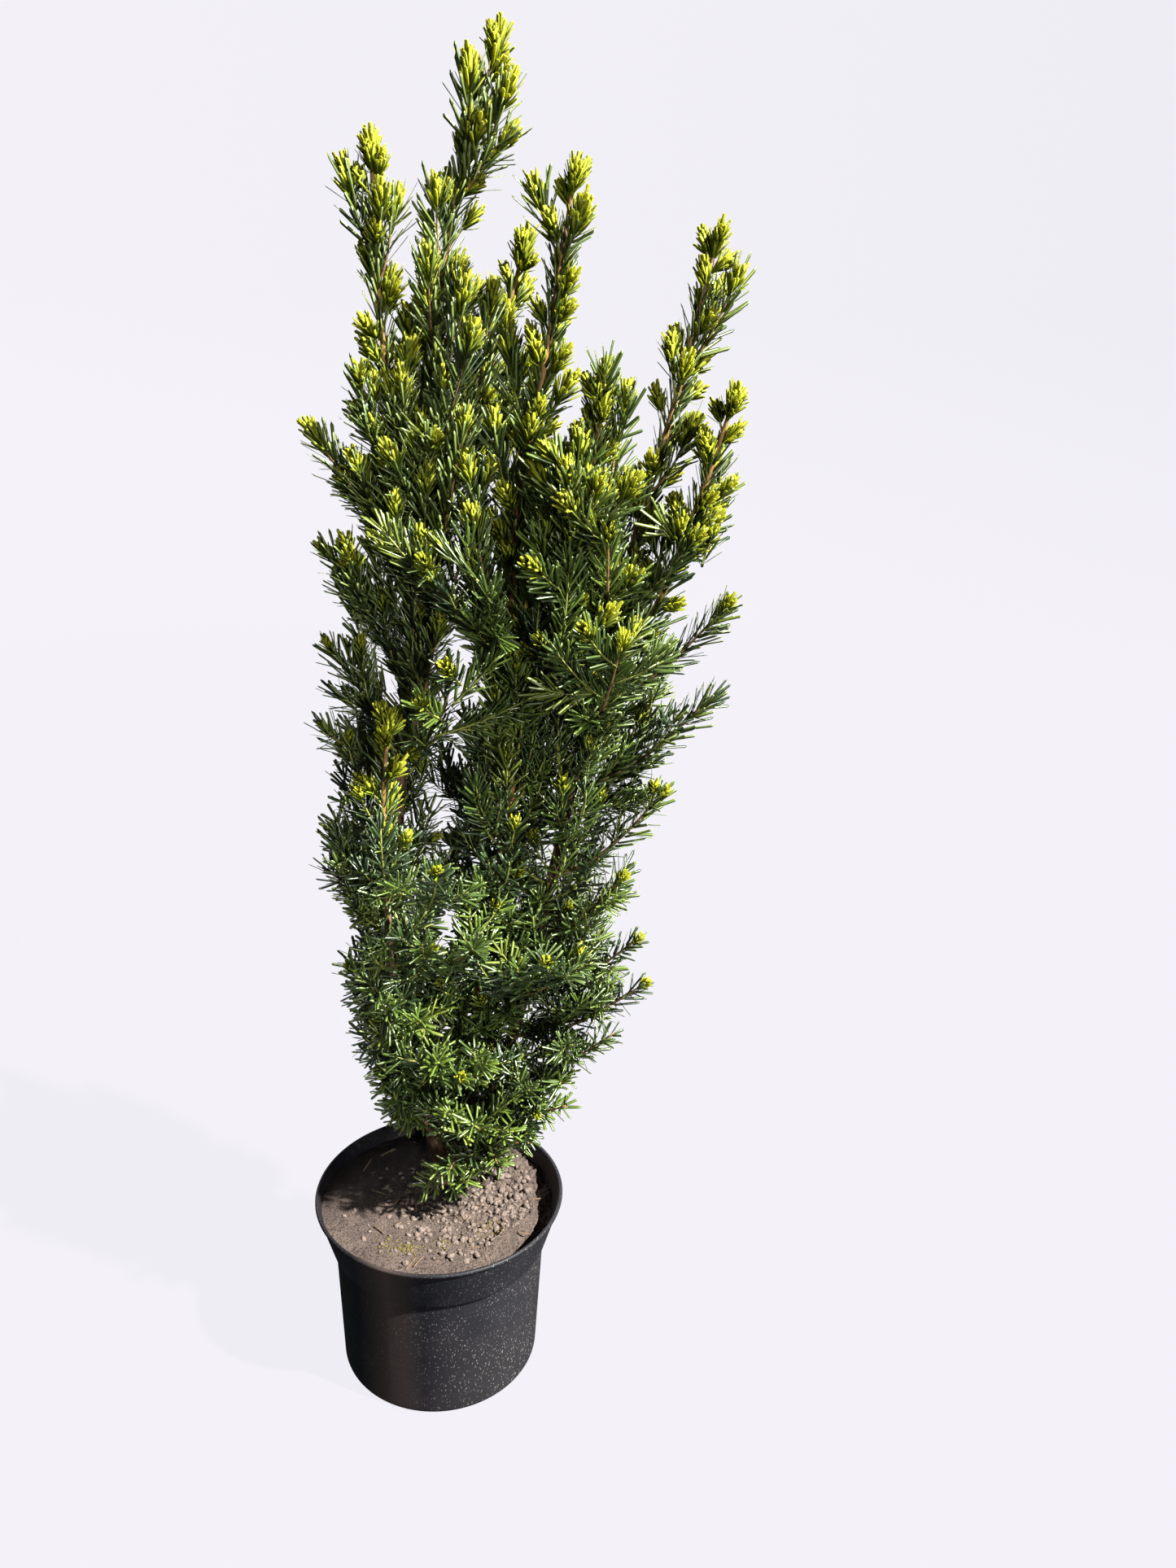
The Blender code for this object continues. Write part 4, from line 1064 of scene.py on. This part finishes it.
def grow_limb_needles(growth):
    """Needles and young tufts that stand on the upper wood itself."""
    for seed, (name, limb) in enumerate(LIMBS.items()):
        rng = np.random.default_rng(700 + seed)
        path = growth.paths[name]
        upper = path[(path[:, 2] > max(0.70, path[0, 2] + 0.02)) & (path[:, 2] < limb["wood"] + 0.01)]
        if len(upper) > 3:
            line = evenly_spaced(upper, max(4, int(path_length(upper) / 0.01)))
            growth.spray(line, RIGHT, rng, 0.0, spacing=0.0018, radius=0.004)
        tall = path[path[:, 2] > 0.88]
        if len(tall) < 4 or name in ("low_left_stem", "back_leader"):
            continue
        places = zip(*along_path(tall, RIGHT, np.arange(0.010, path_length(tall) - 0.120, 0.017)))
        for turn, (spot, tangent, side, lift) in enumerate(places):
            away = swung(side, lift, GOLDEN_TURN * turn + rng.uniform(-0.5, 0.5) + seed)
            heading = swung(tangent, away, rng.uniform(0.50, 0.80))
            neck, size = rng.uniform(0.014, 0.030), rng.uniform(0.022, 0.036)
            growth.necked_tuft(spot + away * 0.002, heading, np.cross(tangent, away), neck, size, rng)


# Bark

def bark_limb(name, paths, finish, sides, seed, step=0.0032):
    """A limb's wood: its radius tapers along it and is carved by long flakes, noise that is stretched
    along the stem, and by knuckles where shoots leave. The trunk swells into lobes at its foot."""
    limb, path = LIMBS[name], paths[name]
    first, last = limb["radius"]
    wood = np.vstack([path[path[:, 2] < limb["wood"] + 0.004], at_height(path, limb["wood"] + 0.006)])
    line = evenly_spaced(wood, int(path_length(wood) / step))
    if name == "trunk":
        line = np.vstack([line[0] - [0, 0, 0.004], line])
    share = np.linspace(0, 1, len(line))
    along = share * path_length(line)
    turn = turns(sides)
    radius = (first * (1 - share) + last * share)[:, None] * np.ones(sides)
    _, side, lift = frames(line, RIGHT)
    if name == "trunk":
        flare = ROOT_FLARE * np.exp(-np.clip(along - 0.004, 0, None) / ROOT_FLARE_HEIGHT)[:, None]
        radius *= 1 + flare * (0.75 + 0.25 * np.cos(ROOT_LOBES * turn))
        side[:2], lift[:2] = (1, 0, 0), (0, 1, 0)
    u, v = np.broadcast_arrays(turn / (2 * math.pi), along[:, None])
    flakes = value_noise(u, v * 5.5, 9, seed + 1, wrap=9)
    plates = value_noise(u, v * 9 + 0.3 * flakes, 5, seed + 2, wrap=5)
    knuckles = value_noise(u, v * 14, 3, seed + 3, wrap=3)
    depth = 0.0006 + 0.035 * first
    radius += depth * (0.75 * np.sign(flakes) * np.abs(flakes)**0.5 + 0.6 * plates) + 0.0005 * knuckles
    return tubes_piece(f"{name}_bark", [rings_round(line, side, lift, radius)], finish)


# Pot and compost

def rounded(points, cut, steps):
    """A polyline whose inner corners are rounded, each by a quadratic curve between two points a cut away."""
    points = np.asarray(points, float)
    t = np.linspace(0, 1, steps)[:, None]
    line = [points[:1]]
    for a, b, c in zip(points, points[1:], points[2:]):
        before = b + unit(a - b) * min(cut, np.linalg.norm(a - b) * 0.45)
        after = b + unit(c - b) * min(cut, np.linalg.norm(c - b) * 0.45)
        line.append(before * (1 - t)**2 + 2 * b * t * (1 - t) + after * t**2)
    return np.vstack(line + [points[-1:]])


def pot_profile():
    """Radius and height from near the middle of the underside, up the outside, over the rolled lip and
    down the inside to the edge of the floor."""
    collar = POT_HEIGHT - POT_COLLAR_HEIGHT
    turn = np.linspace(0, math.pi / 2, 9)[:, None]
    corner = np.hstack([POT_BASE_RADIUS - POT_CORNER * (1 - np.sin(turn)), POT_CORNER * (1 - np.cos(turn))])
    body = rounded([corner[-1], (POT_BODY_TOP_RADIUS, collar - 0.0012),
                    (POT_COLLAR_RADIUS - 0.0006, collar - 0.0004),
                    (POT_COLLAR_RADIUS + 0.0003, collar + 0.0026),
                    (POT_RIM_RADIUS - 0.0028, POT_HEIGHT - 0.0062)], 0.0012, 4)
    wall = corner[-1] + (body[1] - corner[-1]) * np.linspace(0.01, 0.99, 18)[:, None]
    bead = POT_LIP / 2
    around = np.radians(np.linspace(-95, 170, 16))[:, None]
    lip = np.array([POT_RIM_RADIUS, POT_HEIGHT]) - bead + bead * np.hstack([np.cos(around), np.sin(around)])
    inner = [(POT_RIM_RADIUS - POT_LIP - 0.0006, POT_HEIGHT - POT_LIP - 0.002),
             (POT_COLLAR_RADIUS - POT_WALL, collar + POT_WALL),
             (POT_BODY_TOP_RADIUS - POT_WALL, collar - POT_WALL),
             (POT_BASE_RADIUS - POT_WALL, POT_CORNER + POT_WALL), (POT_BASE_RADIUS - POT_CORNER, POT_FLOOR)]
    return np.vstack([[(0.06, 0.0)], corner, wall, body[1:], lip, inner])


def soil_height(x, y):
    """The level of the solids, with clods, crumbs and grit as noise of three sizes on top. It is smooth
    at the front left and crumbly at the right, and falls away steeply at the right wall."""
    radius, azimuth = np.hypot(x, y), np.arctan2(y, x)
    foot = LIMBS["trunk"]["route"][0]
    plane = SOIL_LEVEL + 0.004 + SOIL_TILT[0] * x + SOIL_TILT[1] * y
    rough = np.clip(0.42 + 7.5 * x + 2.0 * y, 0.12, 1.0)
    clods = SOIL_BUMP * (np.sin(71 * x + 2) * np.cos(83 * y) + 0.5 * np.sin(150 * x - 120 * y)) * 0.6
    bumps = 0.0034 * value_noise(x, y, 75, 21) + 0.0034 * np.abs(value_noise(x, y, 150, 22)) - 0.0012
    pits = -0.0075 * np.clip(value_noise(x, y, 110, 27) - 0.25, 0, 1) * np.clip(rough - 0.3, 0, 1)
    crumbs = 0.0019 * value_noise(x, y, 330, 23) + pits
    side = np.clip(np.cos(azimuth + 0.15), 0, 1)**2
    edge = CRESCENT_RADIUS + 0.006 * value_noise(np.cos(azimuth), np.sin(azimuth), 9, 24)
    crescent = CRESCENT_DEPTH * side * np.clip((radius - edge) / (CRESCENT_SLOPE * 0.6), 0, 1)
    surface = plane + (clods + bumps + crumbs) * rough + 0.0003 * value_noise(x, y, 500, 25) - crescent
    away = np.hypot(x - foot[0], y - foot[1]) - FOOT_PAD * 0.4
    away = np.clip(away / (FOOT_BLEND + FOOT_PAD * 0.6), 0, 1)
    blend = away * away * (3 - 2 * away)
    near = SOIL_LEVEL + 0.0006 + 0.0008 * value_noise(x, y, 220, 26)
    return near * (1 - blend) + surface * blend


def soil_piece(finish, sides=400, rows=120):
    """A polar grid: each point's height is the compost's level there. A skirt below its edge closes it."""
    turn = turns(sides)
    collar = POT_HEIGHT - POT_COLLAR_HEIGHT
    heights = (collar + POT_WALL, POT_HEIGHT - POT_LIP)
    radii = (POT_COLLAR_RADIUS - POT_WALL, POT_RIM_RADIUS - POT_LIP - 0.0006)
    edge = np.full(sides, np.interp(SOIL_LEVEL, heights, radii) + 0.0003)
    for _ in range(3):
        top = soil_height(edge * np.cos(turn), edge * np.sin(turn))
        edge = np.interp(np.clip(top, collar + 0.006, POT_HEIGHT - 0.0085), heights, radii) + 0.0003
    shares = np.linspace(1, 0, rows + 1)[:-1, None]**0.85
    x, y = shares * (edge * np.cos(turn)), shares * (edge * np.sin(turn))
    surface = np.stack([x, y, np.clip(soil_height(x, y), collar + 0.006, POT_HEIGHT - 0.0075)], axis=2)
    skirt = surface[:1] * [0.97, 0.97, 1] - [0, 0, 0.010]
    points, quads, triangles = closed_tube(np.concatenate([skirt, surface]))
    points[-1, 2] = soil_height(np.zeros(1), np.zeros(1))[0]
    return mesh_piece("compost", points, [quads, triangles], [finish])


def lump_shape():
    """An octahedron with each edge split and pushed out to a ball: 18 points and 32 triangles."""
    corners = np.array([(1, 0, 0), (0, 1, 0), (-1, 0, 0), (0, -1, 0), (0, 0, 1), (0, 0, -1)], float)
    points, middles, split = [tuple(corner) for corner in corners], {}, []

    def middle(a, b):
        key = (min(a, b), max(a, b))
        if key not in middles:
            middles[key] = len(points)
            points.append(tuple(unit(corners[a] + corners[b])))
        return middles[key]

    for a, b, c in ((0, 1, 4), (1, 2, 4), (2, 3, 4), (3, 0, 4), (1, 0, 5), (2, 1, 5), (3, 2, 5), (0, 3, 5)):
        d, e, f = middle(a, b), middle(b, c), middle(c, a)
        split += [(a, d, f), (d, b, e), (f, e, c), (d, e, f)]
    return np.array(points), np.array(split)


def lumps(name, spots, sizes, flatness, finish, seed):
    """Copies of a lump, each stretched, dented and turned at random, lying on the compost."""
    rng = np.random.default_rng(seed)
    shape, faces = lump_shape()
    count = len(spots)
    dents = 1 + rng.uniform(-0.28, 0.28, (count, len(shape), 1))
    stretch = rng.uniform(0.65, 1.3, (count, 1, 3)) * np.array([1, 1, flatness])
    turn = rng.uniform(0, 2 * math.pi, count)[:, None]
    x, y, z = np.moveaxis(shape[None] * dents * stretch * sizes[:, None, None], 2, 0)
    points = np.stack([x * np.cos(turn) - y * np.sin(turn), x * np.sin(turn) + y * np.cos(turn), z], axis=2)
    faces = (faces[None] + (np.arange(count) * len(shape))[:, None, None]).reshape(-1, 3)
    return mesh_piece(name, points + spots[:, None], [faces], [finish])


def soil_spots(count, seed, centre, spread):
    """Random places on the compost, crowded round a centre."""
    rng = np.random.default_rng(seed)
    spots = rng.normal(0, 1, (count * 3, 2)) * spread + centre
    right = np.clip(np.cos(np.arctan2(spots[:, 1], spots[:, 0]) + 0.15), 0, 1)**2
    spots = spots[np.hypot(*spots.T) < 0.118 - 0.016 * right][:count]
    return np.column_stack([spots, soil_height(*spots.T)])


def litter(finish, count=36, seed=61):
    """Fallen dry needles lying flat on the compost."""
    rng = np.random.default_rng(seed)
    spots = soil_spots(count, seed + 1, (0.01, 0.01), (0.06, 0.055)) + [0, 0, 0.0009]
    turn = rng.uniform(0, 2 * math.pi, len(spots))
    way = unit(np.stack([np.cos(turn), np.sin(turn), rng.normal(0, 0.10, len(spots))], axis=1))
    face = unit(UP - way * way[:, 2:])
    bend = np.cross(face, way) * rng.normal(0, 0.12, len(spots))[:, None]
    sizes = rng.uniform(0.012, 0.022, len(spots))
    blades = [(spots, way, face, bend, sizes, np.full(len(spots), 0.0021), np.full(len(spots), 0.0006))]
    blade_pieces("fallen_needles", blades, NEEDLE_RINGS, ("upper", "lower"), [finish], "potting_soil")


# Light, floor and camera

def posed(name, data, axes, spot):
    """Puts a lamp or the camera at a spot, with its right, top and back along three axes."""
    obj = bpy.data.objects.new(name, data)
    rows = [(*row, place) for row, place in zip(np.transpose(axes), spot)]
    obj.matrix_world = Matrix(rows + [(0, 0, 0, 1)])
    bpy.context.scene.collection.objects.link(obj)
    return obj


def studio():
    """A pale floor that sweeps up all round, a sun at the right, and soft light from the front and back."""
    arc = np.linspace(0, math.pi / 2, 14)[1:]
    radius = np.concatenate([np.linspace(0.3, 4.0, 10), 4.0 + 1.4 * np.sin(arc), [5.4]])
    height = np.concatenate([np.zeros(10), 1.4 * (1 - np.cos(arc)), [WALL_HEIGHT]]) - 0.0004
    points, quads, ends = closed_tube(level_rings(radius, height, FLOOR_SIDES)[:, ::-1])
    finish = Finish("studio_floor", Roughness=1.0, Specular_IOR_Level=0.0, Base_Color=(FLOOR_SHADE,) * 3,
                    Emission_Color=(0.900, 0.884, 0.943), Emission_Strength=FLOOR_GLOW)
    floor = mesh_piece("studio_floor", points[:-1], [quads, ends[:FLOOR_SIDES]], [finish.material])
    floor.visible_shadow = floor.visible_diffuse = floor.visible_glossy = False
    world = bpy.data.worlds.new("studio")
    bpy.context.scene.world = world
    world.use_nodes = True
    back = world.node_tree.nodes["Background"]
    back.inputs[0].default_value = (0.80, 0.88, 1.0, 1)
    back.inputs[1].default_value = WORLD_LIGHT
    for name, (azimuth, elevation), size, power, colour in LAMPS:
        light = bpy.data.lights.new(name, "SUN")
        light.angle, light.energy, light.color = math.radians(size), power, colour
        away = swung(level(math.radians(azimuth)), UP, math.radians(elevation))
        side = unit(np.cross(UP, away))
        posed(name, light, (side, np.cross(away, side), away), away * 3)


def camera():
    """Looks along +Y and down, rolled a little, with the photo's field of view."""
    lens = bpy.data.cameras.new("camera")
    lens.sensor_width = 36
    lens.lens = CAMERA_LENS
    lens.clip_start = 0.01
    back = swung(np.array([0.0, -1.0, 0.0]), UP, CAMERA_DOWN)
    up = np.cross(back, RIGHT)
    axes = (swung(RIGHT, up, CAMERA_ROLL), swung(up, -RIGHT, CAMERA_ROLL), back)
    bpy.context.scene.camera = posed("camera", lens, axes, CAMERA_SPOT)
    bpy.context.scene.view_settings.view_transform = "Standard"


# The whole object

def plant():
    """The bark of every limb, then the twigs, needles and young tips grown on them."""
    paths, plan = plant_plan()
    wood = {name: bark_finish(name) for name in BARK_COLOURS}
    for seed, (name, limb) in enumerate(LIMBS.items()):
        finish = wood[f"{limb['bark']}_bark"]
        dressed(bark_limb(name, paths, finish, 30 if name == "trunk" else 22, 10 * seed), "bark", name)
    growth = Growth(paths)
    grow_masses(growth, plan)
    for grow in (grow_limb_shoots, grow_long_shoots, grow_foot_shoots, grow_front_shoots, grow_limb_needles):
        grow(growth)
    stems = (("shoot_stems", "brown", "bark", plan), ("leader_stems", "tan", "bark", ()),
             ("twig_stems", "green", "needles", ()))
    for name, kind, slot, nodes in stems:
        dressed(tubes_piece(name, growth.stems[kind], wood[f"{kind}_twigs"]), slot, *nodes)
    pale = leaf_finish("needle_underside", 0.5, 0.0)
    for tone, rows in growth.needles.items():
        finishes = [leaf_finish(f"needle_{tone}"), pale]
        blade_pieces(f"needles_{tone}", rows, NEEDLE_RINGS, ("upper", "lower"), finishes, "needles")
    green, lime, yellow = [leaf_finish(name, 0.6, 0.0, 0.2, 0.3) for name in LEAF_COLOURS
                           if name.startswith("tuft")]
    for tone, finishes in (("green", [green, lime]), ("lime", [lime, yellow])):
        blade_pieces(f"tufts_{tone}", growth.tufts[tone], TUFT_RINGS, ("body", "tip"), finishes,
                     "young_needles")


def potting():
    """The pot, the compost, and what lies on it."""
    pot = tubes_piece("pot_shell", [level_rings(*pot_profile().T, 144)], pot_finish())
    dressed(pot, "pot_plastic", "pot")
    dressed(soil_piece(soil_finish()), "potting_soil", "soil")
    clod = plain_grain_finish("clods", (0.165, 0.13, 0.112), (0.052, 0.038, 0.033), 600)
    moss = plain_grain_finish("moss", (0.125, 0.096, 0.024), (0.05, 0.05, 0.014), 500, depth=0.0006)
    rng = np.random.default_rng(41)
    spots = soil_spots(640, 42, (0.052, -0.008), (0.052, 0.06))
    sizes = rng.uniform(0.0011, 0.0046, len(spots)) * rng.uniform(0.5, 1.2, len(spots))
    dressed(lumps("compost_clods", spots, sizes, 0.75, clod, 43), "potting_soil")
    spots = np.vstack([soil_spots(*patch) for patch in MOSS])
    sizes = rng.uniform(0.0006, 0.0016, len(spots))
    dressed(lumps("moss_flecks", spots, sizes, 0.7, moss, 46), "potting_soil")
    litter(plain_grain_finish("dry_needles", (0.17, 0.112, 0.066), (0.09, 0.058, 0.038), 300, 0.75))


camera()
studio()
plant()
potting()
